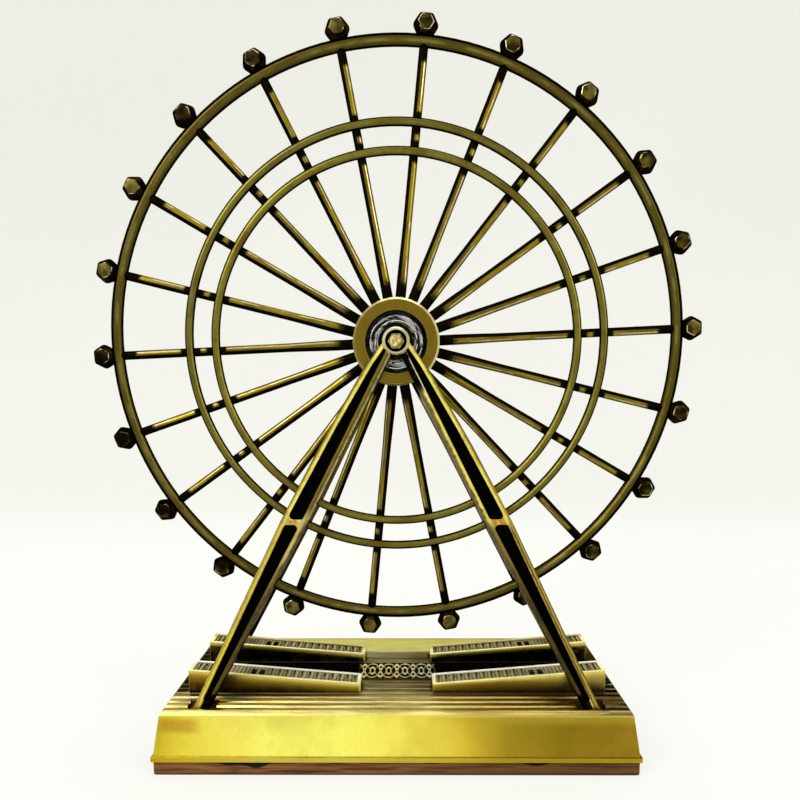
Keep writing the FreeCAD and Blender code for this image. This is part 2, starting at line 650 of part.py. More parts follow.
def make_frame():
    """The front A-frame: two ribbed legs that lean back to one boss, on threaded studs."""
    leg = make_leg()

    def stud(k, side):
        return rod(f"foot_stud_{k}", "{foot_stud}",
                   "{socket_floor} + {foot_stud_root} - {pad_under} + {foot_nut_height}"
                   " + {foot_stud_tail}", f"{side} {{foot_stud_x}}", "0 - {foot_y}",
                   "{pad_under} - {foot_nut_height} - {foot_stud_tail}")

    boss = turned("boss", [
        ("0", "0 - {hub_face}"), ("{boss_outer}", "0 - {hub_face}"),
        ("{boss_outer}", "{boss_edge} - {boss_front}"),
        ("{boss_outer} - {boss_edge}", "0 - {boss_front}"), ("0", "0 - {boss_front}")])
    bore = bind(doc.addObject("Part::Cylinder", "boss_bore"), Radius="{stud_radius}",
                Height="{boss_front}")
    sink = bind(doc.addObject("Part::Cylinder", "boss_sink"), Radius="{boss_sink}",
                Height="{boss_sink_drop} + {overcut}")
    put_on_axle(bore, "0 - {boss_front}")
    put_on_axle(sink, "0 - {boss_front} - {overcut}")
    solid = fuse("front_frame_solid", [boss, leg, mirror("left_leg", leg, LEFT_RIGHT),
                                       stud(1, "0 +"), stud(2, "0 -")])
    return cut("front_a_frame", solid, group("boss_cutters", [bore, sink]))


def make_foot_nuts():
    """Hexagon nuts under the deck, on the studs of the four feet."""
    def nut(k, across, along):
        blank = put(hexagon(f"foot_nut_blank_{k}", "{foot_nut_flats}", "{foot_nut_height}"),
                    across, along, "{pad_under} - {foot_nut_height}")
        hole = rod(f"foot_nut_hole_{k}", "{foot_stud}", "{foot_nut_height}", across, along,
                   "{pad_under} - {foot_nut_height}")
        return cut(f"foot_nut_{k}", blank, hole)

    return group("foot_nuts", at_corners(nut, "{foot_stud_x}", "{foot_y}"))


# ---------------------------------------------------------------- axle
def make_axle():
    """The pin that the bearing's inner race sits on, with a threaded stud at either end."""
    return turned("axle_pin", [
        ("0", "0 - {stud_reach}"), ("{stud_radius}", "0 - {stud_reach}"),
        ("{stud_radius}", "0 - {hub_face}"), ("{bearing_bore}", "0 - {hub_face}"),
        ("{bearing_bore}", "{hub_face}"), ("{stud_radius}", "{hub_face}"),
        ("{stud_radius}", "{stud_reach}"), ("0", "{stud_reach}")])


def make_spacers():
    """The two rings that keep the bearing's inner race clear of the bosses."""
    rear = turned("rear_spacer", [
        ("{bearing_bore}", "{half_race}"), ("{spacer_outer}", "{half_race}"),
        ("{spacer_outer}", "{hub_face}"), ("{bearing_bore}", "{hub_face}")])
    return group("axle_spacers", [rear, mirror("front_spacer", rear, FRONT_BACK)])


def make_cap_nut():
    """The rear cap nut: six flats, a dome, and a blind hole for the axle's stud."""
    flats = put_on_axle(hexagon("nut_flats_solid", "{nut_flats}", "{nut_hex}"), "{boss_floor}")
    dome = bind(doc.addObject("Part::Ellipsoid", "nut_dome_solid"), Radius1="{nut_dome}",
                Radius2="{nut_flats} / 2 - {nut_step}")
    put_on_axle(dome, "{boss_floor} + {nut_hex}")
    hole = bind(doc.addObject("Part::Cylinder", "nut_hole"), Radius="{stud_radius}",
                Height="{stud_reach} - {boss_floor}")
    put_on_axle(hole, "{boss_floor}")
    return cut("rear_cap_nut", fuse("nut_solid", [flats, dome]), hole)


# ---------------------------------------------------------------- hub and bearing
def make_flange():
    """The front hub flange, bevelled round its edge, that holds the bearing in the barrel."""
    bore = "{bearing_outer} - {flange_overlap}"
    return turned("front_hub_flange", [
        (bore, "0 - {half_race}"), ("{flange_outer}", "0 - {half_race}"),
        ("{flange_outer}", "{flange_edge} - {hub_face}"),
        ("{flange_outer} - {flange_edge}", "0 - {hub_face}"), (bore, "0 - {hub_face}")])


def make_barrel(spokes):
    """The tube round the bearing, with a blind hole for the inner end of every spoke."""
    tube = turned("barrel_tube", [
        ("{bearing_outer}", "0 - {half_race}"), ("{barrel_outer}", "0 - {half_race}"),
        ("{barrel_outer}", "{half_race}"), ("{bearing_outer}", "{half_race}")])
    return cut("hub_barrel", tube, spokes)


def ball_track():
    """The ring of space in which the balls run."""
    track = torus("ball_track", "{ball_circle} + {ball_radius} + {ball_play}",
                  "2 * ({ball_radius} + {ball_play})")
    return put_on_axle(track)


def make_inner_race(track):
    edge, inner_edge = "{half_race} - {race_edge}", "{bearing_bore} + {race_edge}"
    ring = turned("inner_race_ring", [
        ("{bearing_bore}", f"0 - ({edge})"), (inner_edge, "0 - {half_race}"),
        ("{inner_land}", "0 - {half_race}"), ("{inner_land}", "{half_race}"),
        (inner_edge, "{half_race}"), ("{bearing_bore}", edge)])
    return cut("bearing_inner_race", ring, track)


def make_outer_race(track):
    """The outer race, with a step at either face that seats a shield."""
    edge, outer_edge = "{half_race} - {race_edge}", "{bearing_outer} - {race_edge}"
    step = "{shield_face} - {shield_thick}"
    half = [("{outer_land}", step), ("{shield_seat}", step), ("{shield_seat}", "{half_race}"),
            (outer_edge, "{half_race}"), ("{bearing_outer}", edge)]
    other_half = [(across, f"0 - ({along})") for across, along in reversed(half)]
    return cut("bearing_outer_race", turned("outer_race_ring", half + other_half), track)


def make_shield():
    """The front shield: thin sheet with a step pressed into it, just clear of the inner race."""
    face, sheet_in = "{shield_face}", "{shield_thick}"
    wall = "{shield_step} + {shield_thick}"
    return turned("front_bearing_shield", [
        ("{shield_bore}", f"{{shield_dish}} - {face}"),
        ("{shield_step}", f"{{shield_dish}} - {face}"), ("{shield_step}", f"0 - {face}"),
        ("{shield_seat}", f"0 - {face}"), ("{shield_seat}", f"{sheet_in} - {face}"),
        (wall, f"{sheet_in} - {face}"), (wall, f"{{shield_dish}} + {sheet_in} - {face}"),
        ("{shield_bore}", f"{{shield_dish}} + {sheet_in} - {face}")])


def ring_of_balls(name, radius):
    """Spheres evenly spaced round the ball circle."""
    def ball(k):
        turn = f"360 / {{ball_count}} * {k}"
        sphere = bind(doc.addObject("Part::Sphere", f"{name}_{k}"), Radius=radius)
        return put(sphere, f"{{ball_circle}} * cos({turn})", "0",
                   f"{{axle_up}} + {{ball_circle}} * sin({turn})", "0; 1; 0", f"90 - {turn}")

    return group(name, [ball(k) for k in range(count("ball_count"))])


def make_cage():
    """The ring that keeps the balls apart."""
    ring = turned("cage_ring", [
        ("{cage_inner}", "0 - {cage_width} / 2"), ("{cage_outer}", "0 - {cage_width} / 2"),
        ("{cage_outer}", "{cage_width} / 2"), ("{cage_inner}", "{cage_width} / 2")])
    return cut("ball_cage", ring, ring_of_balls("cage_pockets", "{ball_radius} + {pocket_play}"))


# ---------------------------------------------------------------- wheel
def spoke_turn(k):
    """Degrees from +X up towards +Z to spoke and capsule number k."""
    return f"({{spoke_first}} + 360 / {{spoke_count}} * {k})"


def make_spokes(rings):
    """All the spokes, from the barrel to the rim, notched where the two rings cross them."""
    def spoke(k):
        turn = spoke_turn(k)
        wire = bind(doc.addObject("Part::Cylinder", f"spoke_{k}"), Radius="{spoke_wire} / 2",
                    Height="{rim_inner} + {spoke_seat} - {spoke_root}")
        return put(wire, f"{{spoke_root}} * cos({turn})", "0",
                   f"{{axle_up}} + {{spoke_root}} * sin({turn})", "0; 1; 0", f"90 - {turn}")

    whole = group("whole_spokes", [spoke(k) for k in range(count("spoke_count"))])
    return cut("spokes", whole, group("spoke_notches", rings))


def make_capsule():
    """One six-sided capsule above the origin, its back hollowed to fit the rim's wire."""
    def section(k, flats, along):
        ring = doc.addObject("Part::RegularPolygon", f"capsule_section_{k}")
        ring.Polygon = 6
        bind(ring, Circumradius=f"({flats}) / 2 / cos(30)")
        return put(ring, "0", along, "{rim_outer} + {capsule_reach} - {capsule_flats} / 2",
                   "1; 0; 0", "0 - 90")

    end, brink, belt = ("{capsule_depth} / 2", "{capsule_depth} / 2 - {capsule_bevel}",
                        "{capsule_belt} / 2")
    bevelled = "{capsule_facet} + 2 * {capsule_bevel}"
    half = [("{capsule_facet}", end), (bevelled, brink), ("{capsule_flats}", belt)]
    other_half = [(flats, f"0 - ({along})") for flats, along in reversed(half)]
    body = doc.addObject("Part::Loft", "capsule_body")
    body.Sections = [section(k, *ring) for k, ring in enumerate(half + other_half, 1)]
    body.Solid = True
    body.Ruled = True
    seat = put(torus("capsule_seat", "{rim_outer}", "{rim_wire}"), "0", "0", "0", "1; 0; 0",
               "0 - 90")
    return cut("capsule_form", body, seat)


def make_capsules():
    """The capsules round the rim, one at the end of every spoke."""
    form = make_capsule()
    capsules = []
    for k in range(count("spoke_count")):
        capsule = doc.addObject("App::Link", f"capsule_{k + 1:02d}")
        capsule.LinkedObject = form
        put(capsule, "0", "0", "{axle_up}", "0; 1; 0", f"90 - {spoke_turn(k)}")
        capsules.append(capsule)
    return capsules


# ---------------------------------------------------------------- assembly
board_screw_blanks, board_screws = make_board_screws()
front_platform, front_pegs = make_platform("front")
rear_platform, rear_pegs = make_platform("rear")
left_pegs = [mirror(f"left_{pegs.Name}", pegs, LEFT_RIGHT) for pegs in (front_pegs, rear_pegs)]
front_frame = make_frame()
rear_cap_nut = make_cap_nut()

middle_ring = put_on_axle(torus("middle_ring", "{middle_outer}", "{middle_wire}"),
                          "0 - {ring_forward}")
inner_ring = put_on_axle(torus("inner_ring", "{inner_outer}", "{inner_wire}"),
                         "0 - {ring_forward}")
spokes = make_spokes([middle_ring, inner_ring])
rim_wire = put_on_axle(torus("rim_wire_ring", "{rim_outer}", "{rim_wire}"))
flange = make_flange()
shield = make_shield()
track = ball_track()

PIECES = {
    "base_casting": make_base(board_screw_blanks, [front_pegs, rear_pegs] + left_pegs),
    "bottom_board": make_board(board_screw_blanks),
    "board_screws": board_screws,
    "lattice_strip": make_lattice(),
    "platform_front_right": front_platform,
    "platform_front_left": mirror("platform_front_left", front_platform, LEFT_RIGHT),
    "platform_rear_right": rear_platform,
    "platform_rear_left": mirror("platform_rear_left", rear_platform, LEFT_RIGHT),
    "front_a_frame": front_frame,
    "rear_a_frame": mirror("rear_a_frame", front_frame, FRONT_BACK),
    "foot_nuts": make_foot_nuts(),
    "axle_pin": make_axle(),
    "axle_spacers": make_spacers(),
    "rear_cap_nut": rear_cap_nut,
    "front_cap_nut": mirror("front_cap_nut", rear_cap_nut, FRONT_BACK),
    "bearing_inner_race": make_inner_race(track),
    "bearing_outer_race": make_outer_race(track),
    "bearing_balls": ring_of_balls("bearing_balls", "{ball_radius}"),
    "ball_cage": make_cage(),
    "front_bearing_shield": shield,
    "rear_bearing_shield": mirror("rear_bearing_shield", shield, FRONT_BACK),
    "hub_barrel": make_barrel(spokes),
    "front_hub_flange": flange,
    "rear_hub_flange": mirror("rear_hub_flange", flange, FRONT_BACK),
    "outer_rim": cut("outer_rim", rim_wire, spokes),
    "middle_ring": middle_ring,
    "inner_ring": inner_ring,
    "spokes": spokes,
}
PIECES.update({capsule.Name: capsule for capsule in make_capsules()})

doc.recompute()
for node, piece in PIECES.items():
    piece.Label = node

failed = [item.Name for item in doc.Objects if {"Invalid", "Error"} & set(item.State)]
if failed:
    raise RuntimeError(f"objects that failed: {failed}")
for node, piece in PIECES.items():
    if piece.Shape.isNull() or not piece.Shape.isValid():
        raise RuntimeError(f"{node} has no valid shape")

os.makedirs("parts", exist_ok=True)
for node, piece in PIECES.items():
    piece.Shape.exportStep(f"parts/{node}.step")
    print(f"{node}: {len(piece.Shape.Solids)} solids, {piece.Shape.Volume:.1f} mm3")
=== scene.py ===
# %% [markdown]
# A desk-top observation wheel in antique brass. The CAD model gives every piece its size, its
# place and its joints. This lesson gives each piece its surface: brass that was blackened in a
# bath and then rubbed back, so that it shines where a cloth reaches and stays black where it
# doesn't.

# %% Open the CAD model
import math
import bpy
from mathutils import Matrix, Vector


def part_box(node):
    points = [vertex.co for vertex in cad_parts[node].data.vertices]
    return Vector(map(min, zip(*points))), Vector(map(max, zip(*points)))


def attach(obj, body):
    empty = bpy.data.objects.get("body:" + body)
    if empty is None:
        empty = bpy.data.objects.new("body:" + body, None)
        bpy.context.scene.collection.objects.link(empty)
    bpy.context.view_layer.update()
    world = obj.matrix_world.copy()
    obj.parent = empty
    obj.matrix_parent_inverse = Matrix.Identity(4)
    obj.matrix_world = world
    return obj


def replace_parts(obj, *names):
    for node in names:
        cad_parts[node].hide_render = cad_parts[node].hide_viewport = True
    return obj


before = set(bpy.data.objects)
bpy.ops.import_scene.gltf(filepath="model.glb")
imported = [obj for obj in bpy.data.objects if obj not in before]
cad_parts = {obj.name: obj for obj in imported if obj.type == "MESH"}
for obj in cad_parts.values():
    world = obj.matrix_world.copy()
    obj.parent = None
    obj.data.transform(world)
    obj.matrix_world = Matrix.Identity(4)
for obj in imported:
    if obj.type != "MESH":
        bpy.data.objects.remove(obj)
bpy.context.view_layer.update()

from types import SimpleNamespace

import bmesh
import bpy
import numpy as np
from mathutils import Vector

# %% [markdown]
# Lengths are written in millimetres and turned into Blender's metres once. Colours are written as
# a screen shows them, from 0 to 255, and turned into the linear light that shaders mix.

# %% Millimetres and colours
MM = 0.001
AXLE_HEIGHT = 141.4
DECK_TOP = 20.5
RIM_RADIUS = 99.9
SPOKES, FIRST_SPOKE = 22, 2.6


def tone(red, green, blue):
    """A screen colour from 0 to 255 as linear light: each part is undone by the screen's curve."""
    parts = np.array([red, green, blue]) / 255.0
    linear = np.where(parts <= 0.04045, parts / 12.92, ((parts + 0.055) / 1.055) ** 2.4)
    return (*linear.tolist(), 1.0)


print("mid brass as linear light:", tone(130, 105, 30))

# %% [markdown]
# A material is a small network of nodes. What a node tells about a point, such as its place or the
# way it faces, is called a measure here, and the usual signs work on measures: a * b adds a node
# that multiplies.

# %% Helpers for laying out nodes
class Measure:
    """What one output of a node tells. The signs + - * / and abs() add a Math node."""

    def __init__(self, socket):
        self.socket = socket

    def __add__(self, other):
        return work("ADD", self, other)

    def __sub__(self, other):
        return work("SUBTRACT", self, other)

    def __rsub__(self, other):
        return work("SUBTRACT", other, self)

    def __mul__(self, other):
        return work("MULTIPLY", self, other)

    def __truediv__(self, other):
        return work("DIVIDE", self, other)

    def __abs__(self):
        return work("ABSOLUTE", self)


NETWORKS = []


def open_network(tree):
    """From here on, new nodes go into this network."""
    NETWORKS.append(tree)
    return tree


def plug(entry, value):
    """Sets one input: a measure is linked to it, a screen colour becomes light, a number stays."""
    if isinstance(value, Measure):
        NETWORKS[-1].links.new(value.socket, entry)
    elif entry.type == "RGBA":
        entry.default_value = tone(*value)
    else:
        entry.default_value = value


def plug_in(node, entries):
    """Plugs several inputs of a node, by name or number."""
    for name, value in entries.items():
        plug(node.inputs[name], value)
    return node


def set_up(thing, **settings):
    """Gives a thing several settings at once."""
    for name, value in settings.items():
        setattr(thing, name, value)
    return thing


def place(kind, entries, **settings):
    """Adds one node of a kind with its settings, and plugs its inputs."""
    return plug_in(set_up(NETWORKS[-1].nodes.new("ShaderNode" + kind), **settings), entries)


def read(node, output=0):
    """The measure at one output of a node, by name or number."""
    return Measure(node.outputs[output])


def work(sum_of, first, second=0.0, third=0.0, clamp=False):
    """One sum of up to three measures or numbers, such as ADD, MULTIPLY or COSINE."""
    return read(place("Math", {0: first, 1: second, 2: third}, operation=sum_of, use_clamp=clamp))


def most(first, *others):
    """The highest of several measures."""
    for other in others:
        first = work("MAXIMUM", first, other)
    return first


def least(first, *others):
    """The lowest of several measures."""
    for other in others:
        first = work("MINIMUM", first, other)
    return first


print("helpers for nodes ready")

# %% [markdown]
# The next helpers turn a range of a measure into a mask from 0 to 1, blend colours by a mask, lay
# a row of colours along a measure, and make cloudy patches.

# %% Helpers for masks and colours
def between(measure, low, high, at_low=0, at_high=1):
    """A mask that goes smoothly from at_low to at_high while a measure goes from low to high."""
    return read(place("MapRange", {"Value": measure, "From Min": low, "From Max": high,
                                   "To Min": at_low, "To Max": at_high},
                      interpolation_type="SMOOTHSTEP"))


def fading(measure, low, high):
    """A mask that goes smoothly from 1 to 0 while a measure goes from low to high."""
    return between(measure, low, high, 1, 0)


def band(measure, low, high, soft):
    """A mask that is 1 between low and high, and fades to 0 over the soft width outside them."""
    return between(measure, low - soft, low) * fading(measure, high, high + soft)


def blend(share, under, over):
    """The second colour laid over the first by the share from 0 to 1."""
    return read(place("Mix", {0: share, 6: under, 7: over}, data_type="RGBA"), 2)


def painted(colour, *coats):
    """A colour with coats laid over it in turn. Each coat is a share and a colour."""
    for share, over in coats:
        colour = blend(share, colour, over)
    return colour


def colour_along(measure, low, high, stops):
    """Colours laid along a measure from low to high. Each stop is a place on it and a colour."""
    where = place("MapRange", {"Value": measure, "From Min": low, "From Max": high})
    ramp = place("ValToRGB", {0: read(where)})
    marks = ramp.color_ramp.elements
    for mark, (spot, *colour) in zip(marks, (stops[0], stops[-1])):
        mark.position, mark.color = (spot - low) / (high - low), tone(*colour)
    for spot, *colour in stops[1:-1]:
        marks.new((spot - low) / (high - low)).color = tone(*colour)
    return read(ramp, "Color")


def object_place():
    """Where a point lies on its own piece, so that a pattern stays on the piece when it moves."""
    return read(place("TexCoord", {}), "Object")


def noise(scale, detail, at=None, **more):
    """Cloudy patches from 0 to 1, about as many to the metre as the scale says."""
    entries = {"Vector": at or object_place(), "Scale": scale, "Detail": detail, **more}
    return read(place("TexNoise", entries))


def turned_rings(distance, scale, detail):
    """Fine rings, as a lathe leaves them: noise that changes only with the distance."""
    return read(place("TexNoise", {"W": distance, "Scale": scale, "Detail": detail},
                      noise_dimensions="1D"))


print("helpers for masks and colours ready")

# %% [markdown]
# A pattern that many materials share is a group: a small network with named inputs and outputs of
# its own.

# %% Helpers for groups
def new_group(name, entries, exits):
    """An empty node group with named inputs (colours or numbers) and named outputs."""
    group = open_network(bpy.data.node_groups.new(name, "ShaderNodeTree"))
    for label, value in entries.items():
        is_colour = isinstance(value, tuple)
        kind = "NodeSocketColor" if is_colour else "NodeSocketFloat"
        socket = group.interface.new_socket(label, in_out="INPUT", socket_type=kind)
        socket.default_value = tone(*value) if is_colour else value
    for label in exits:
        kind = "NodeSocketColor" if label == "Color" else "NodeSocketFloat"
        group.interface.new_socket(label, in_out="OUTPUT", socket_type=kind)
    start = group.nodes.new("NodeGroupInput")
    end = group.nodes.new("NodeGroupOutput")
    return group, {socket.name: Measure(socket) for socket in start.outputs}, end


def use_group(group, entries=None):
    """Places a group with its own values, and hands back its outputs as named measures."""
    node = place("Group", {}, node_tree=group)
    plug_in(node, entries or {})
    return SimpleNamespace(**{socket.name: Measure(socket) for socket in node.outputs})


print("helpers for groups ready")

# %% [markdown]
# The first group is a ruler. It tells, for any point, how many millimetres it lies along x, y and
# z, and which way the surface faces there. Every finish that changes from place to place reads it,
# so the finish stays on the piece when the piece moves.

# %% Group: ruler
RULER, _, end = new_group("ruler", {}, ("X", "Y", "Z", "Side", "Back", "Up"))
scaled = place("VectorMath", {0: object_place(), "Scale": 1 / MM}, operation="SCALE")
parts = place("SeparateXYZ", {0: read(scaled)})
faces = place("SeparateXYZ", {0: read(place("TexCoord", {}), "Normal")})
plug_in(end, {number: read(parts, number) for number in range(3)})
plug_in(end, {number + 3: read(faces, number) for number in range(3)})
print("ruler:", [item.name for item in RULER.interface.items_tree])

# %% [markdown]
# The wheel needs a ruler of its own. The compass gives the distance from the axle, and how far the
# surface faces outwards, onwards (against the clock, seen from the front) or to the front.

# %% Group: compass
COMPASS, _, end = new_group("compass", {}, ("Distance", "Outwards", "Onwards", "Front", "Turn"))
rule = use_group(RULER)
height = rule.Z - AXLE_HEIGHT
arm = read(place("CombineXYZ", {"X": rule.X, "Y": 0.0, "Z": height}))
length = read(place("VectorMath", {0: arm}, operation="LENGTH"), "Value")
outward = read(place("VectorMath", {0: arm}, operation="NORMALIZE"), "Vector")
onward = read(place("VectorMath", {0: (0.0, -1.0, 0.0), 1: outward}, operation="CROSS_PRODUCT"),
              "Vector")
facing = read(place("TexCoord", {}), "Normal")
outwards = place("VectorMath", {0: outward, 1: facing}, operation="DOT_PRODUCT")
onwards = place("VectorMath", {0: onward, 1: facing}, operation="DOT_PRODUCT")
plug_in(end, {"Distance": length, "Outwards": read(outwards, "Value"),
              "Onwards": read(onwards, "Value"), "Front": rule.Back * -1,
              "Turn": work("ARCTAN2", height, rule.X)})
print("compass ready, axle at", AXLE_HEIGHT, "mm")

# %% [markdown]
# Antique brass is made in two steps: the whole toy is dipped in a bath that turns it nearly black,
# then a cloth wheel rubs it. The group lays down a mottled brass, adds black where the cloth
# couldn't reach (hollows, found by how much of the sky is hidden, and places that a material
# names, some of them painted shade), and brings bare metal out on the edges, partly as real wear
# and partly as a painted highlight line.

# %% Group: rubbed brass
RUBBED, goes, end = new_group(
    "rubbed_brass",
    {"Brass": (130, 105, 30), "Bare Metal": (235, 225, 150), "Stain": (95, 75, 22),
     "Black": (14, 11, 4), "Unrubbed": 0, "Edge Shine": 0.6, "Mottle": 0.5,
     "Blotch Size": 110, "Hollow Depth": 0.8},
    ("Color", "Roughness", "Height"))
blotch = noise(goes["Blotch Size"], 4, Roughness=0.6)
speckle = noise(900, 3, Roughness=0.65)
grain = noise(3600, 2)
stained = between(blotch, 0.45, 0.68) * goes["Mottle"]
specks = between(speckle, 0.52, 0.75) * goes["Mottle"]
colour = painted(goes["Brass"], (stained, goes["Stain"]), (specks, goes["Stain"]))
sky = place("AmbientOcclusion", {"Distance": 2.2 * MM}, samples=8)
hidden = fading(read(sky, "AO"), 0.35, 0.85) * goes["Hollow Depth"]
# A material's own black: patina, and in some materials painted shade.
ragged = goes["Unrubbed"] + (speckle * 0.5 - 0.25)
ragged = between(ragged, 0.2, 0.8) * between(goes["Unrubbed"], 0, 0.15)
black = work("MAXIMUM", hidden, ragged, clamp=True)
# Bare metal on the edges: partly real wear and partly a painted highlight line.
rounded = read(place("Bevel", {"Radius": 0.35 * MM}, samples=4), "Normal")
true_face = read(place("NewGeometry", {}), "Normal")
agree = place("VectorMath", {0: rounded, 1: true_face}, operation="DOT_PRODUCT")
edge = fading(read(agree, "Value"), 0.86, 0.985) * goes["Edge Shine"]
edge = work("MULTIPLY", edge, between(blotch, 0.3, 0.5, 0.35, 1), clamp=True)
edge = edge * (1 - ragged)
colour = painted(colour, (black, goes["Black"]), (edge, goes["Bare Metal"]))
rough = work("MULTIPLY_ADD", black, 0.25, speckle * 0.22 + 0.2, clamp=True)
plug_in(end, {"Color": colour, "Roughness": rough, "Height": grain * 0.35 + speckle * 0.65})
print("rubbed brass:", len(RUBBED.nodes), "nodes")

# %% [markdown]
# Each metal finish ends the same way: colour and roughness go into the shader, and the relief goes
# through a Bump node, so the grain catches light without changing the shape.

# %% Finish a metal
def principled(name):
    """A new material with its network open, and its Principled shader."""
    material = bpy.data.materials.new(name)
    material.use_nodes = True
    return material, open_network(material.node_tree).nodes["Principled BSDF"]


def metal(name, bump=0.05, metallic=1):
    """Starts a metal. The function that it hands back plugs the finish into the shader."""
    material, shader = principled(name)
    shader.inputs["Specular Tint"].default_value = (0.3, 0.27, 0.18, 1)

    def finish(outs=None, metallic=metallic, **values):
        """Plugs colour, roughness and relief into the shader, from rubbed brass if not given."""
        outs = outs or use_group(RUBBED, {k.replace("_", " "): v for k, v in values.items()})
        raised = place("Bump", {"Strength": bump, "Distance": 0.2 * MM, "Height": outs.Height})
        plug_in(shader, {"Base Color": outs.Color, "Roughness": outs.Roughness,
                         "Metallic": metallic, "Normal": read(raised)})
        return material

    return finish


FINISHES = {}


def keep(**finishes):
    """Keeps finished materials by name, and prints what they are called."""
    FINISHES.update(finishes)
    print("made", *(material.name for material in finishes.values()))


print("metal helpers ready")

# %% [markdown]
# The cloth wheel always ran the same way round, so one flank of every spoke kept its black band.
# Its ends and the places where a ring crosses are black too, partly patina and partly painted
# shade. A painted highlight runs as a pale streak along the other flank here and there.

# %% Finish: spokes
def spoke_finish():
    """Black on the onward flank, and near the hub, rings and rim, partly as painted shade."""
    finish = metal("spoke_brass")
    around = use_group(COMPASS)
    black = between(around.Onwards, 0.05, 0.3)
    black = most(black, between(around.Onwards, -0.97, -0.9, 0.9, 0))
    # Near the hub, the rings and the rim the black is partly patina and partly painted shade.
    for low, high, soft in ((0, 17, 9), (60.5, 65.5, 2.5), (69.5, 74.5, 2.5), (92.5, 100, 3.5)):
        black = most(black, band(around.Distance, low, high, soft) * 0.9)
    along = noise(75, 3)
    brass = blend(between(along, 0.4, 0.6), (140, 124, 36), (106, 88, 28))
    # Painted highlight: a pale streak along the other flank.
    thread = band(around.Onwards, -0.66, -0.48, 0.1) * between(along, 0.42, 0.52)
    brass = blend(thread * 0.75, brass, (214, 206, 140))
    return finish(Brass=brass, Stain=(104, 74, 22), Unrubbed=black, Edge_Shine=0, Mottle=0.45,
        Blotch_Size=160, Hollow_Depth=0.7)


keep(spokes=spoke_finish())

# %% [markdown]
# The rim and the two rings are wires bent into circles. Their outer and inner flanks are black,
# partly patina and partly painted shade, and a painted highlight line runs along the front and
# the back.

# %% Finish: rim and rings
def hoop_finish(name, brass, pale, outer_black, inner_black, middle):
    """Black flanks, partly patina, partly painted shade; a painted highlight line front and back.
    """
    finish = metal(name)
    around = use_group(COMPASS)
    # The black flanks are partly patina and partly painted shade.
    black = most(between(around.Outwards, outer_black - 0.08, outer_black + 0.1),
                 fading(around.Outwards, -inner_black - 0.06, -inner_black + 0.08))
    # Painted highlight: a pale line where the hoop faces front or back.
    line = band(around.Outwards, middle - 0.1, middle + 0.1, 0.22)
    line = line * between(noise(95, 4), 0.4, 0.6, 0.1, 0.9)
    return finish(Brass=blend(line, brass, pale), Stain=(88, 66, 22), Unrubbed=black, Edge_Shine=0,
        Mottle=0.6)


keep(outer_rim=hoop_finish("rim_brass", (78, 71, 24), (128, 120, 60), 0.24, 0.9, -0.3),
     middle_ring=hoop_finish("middle_ring_brass", (104, 98, 38), (124, 118, 56), 0.5, 0.8, -0.2),
     inner_ring=hoop_finish("inner_ring_brass", (112, 105, 37), (134, 127, 60), 0.56, 0.84, -0.18))

# %% [markdown]
# A capsule is a small faceted casting. Its front and back facets were rubbed, its slanted sides
# stay black with a painted shade that lightens where they face outwards, and painted highlights
# run as thin lines on the corners between them.

# %% Finish: capsules
def capsule_finish():
    """Olive gold facets front and back, black slanted ones, painted shade and highlight lines."""
    finish = metal("capsule_brass", bump=0.08)
    around = use_group(COMPASS)
    patch = noise(130, 2)
    front = abs(around.Front)
    flat = between(front, 0.9, 0.97)
    fleck = noise(380, 2)
    # Painted highlight: pale lines here and there on the corners round the front and back facets.
    border = band(front, 0.8, 0.9, 0.06) * between(fleck, 0.48, 0.58)
    brass = blend(between(patch, 0.35, 0.6), (112, 102, 44), (30, 26, 11))
    # Painted shade: the black slanted sides lighten where they face outwards.
    sides = blend(between(around.Outwards, -0.2, 0.7), (12, 10, 4), (50, 45, 20))
    brass = blend(flat, sides, brass)
    pits = flat * between(fleck, 0.5, 0.66, 0, 0.8)
    brass = painted(brass, (pits, (16, 13, 6)), (border, (214, 206, 156)))
    return finish(Brass=brass, Stain=(70, 52, 18), Bare_Metal=(176, 168, 122),
        Unrubbed=between(patch, 0.5, 0.66, 0, 0.7), Edge_Shine=0.25, Mottle=0.7, Blotch_Size=300,
        Hollow_Depth=0.9)


keep(capsule=capsule_finish())

# %% [markdown]
# A flange of the hub was turned on a lathe, so very fine rings show on its face. Its bevel carries
# a painted highlight, the brightest line of the whole wheel, strongest towards the upper right,
# and its face carries painted shade towards the bore.

# %% Finish: hub
def flange_finish():
    """Olive-brown gold with fine turned rings, a painted bevel highlight and painted shade inside.
    """
    finish = metal("flange_brass", bump=0.06)
    around = use_group(COMPASS)
    rings = turned_rings(around.Distance, 5, 2)
    brass = blend(between(rings, 0.35, 0.65), (138, 116, 34), (114, 93, 29))
    # Painted highlight: the bevel is brightest towards the upper right.
    bevel = fading(abs(around.Front), 0.75, 0.9)
    lit = between(work("COSINE", around.Turn - 0.7), -0.9, 0.6, 0.25, 1)
    far = between(around.Distance, 13.9, 14.3) * lit
    brass = blend(bevel * far, brass, (232, 224, 156))
    # Painted shade: the face darkens towards the bore, at the step down to the bearing.
    return finish(Brass=brass, Stain=(104, 82, 26), Edge_Shine=0.5, Mottle=0.35,
        Unrubbed=between(around.Distance, 10.4, 11.1, 0.9, 0), Blotch_Size=200, Hollow_Depth=0.5)


keep(flange=flange_finish(),
     hub_barrel=metal("barrel_brass")(Brass=(70, 58, 20), Stain=(36, 28, 10), Unrubbed=0.35,
                                      Mottle=0.7),
     axle=metal("axle_brass")(Brass=(150, 130, 60), Stain=(90, 72, 26)))
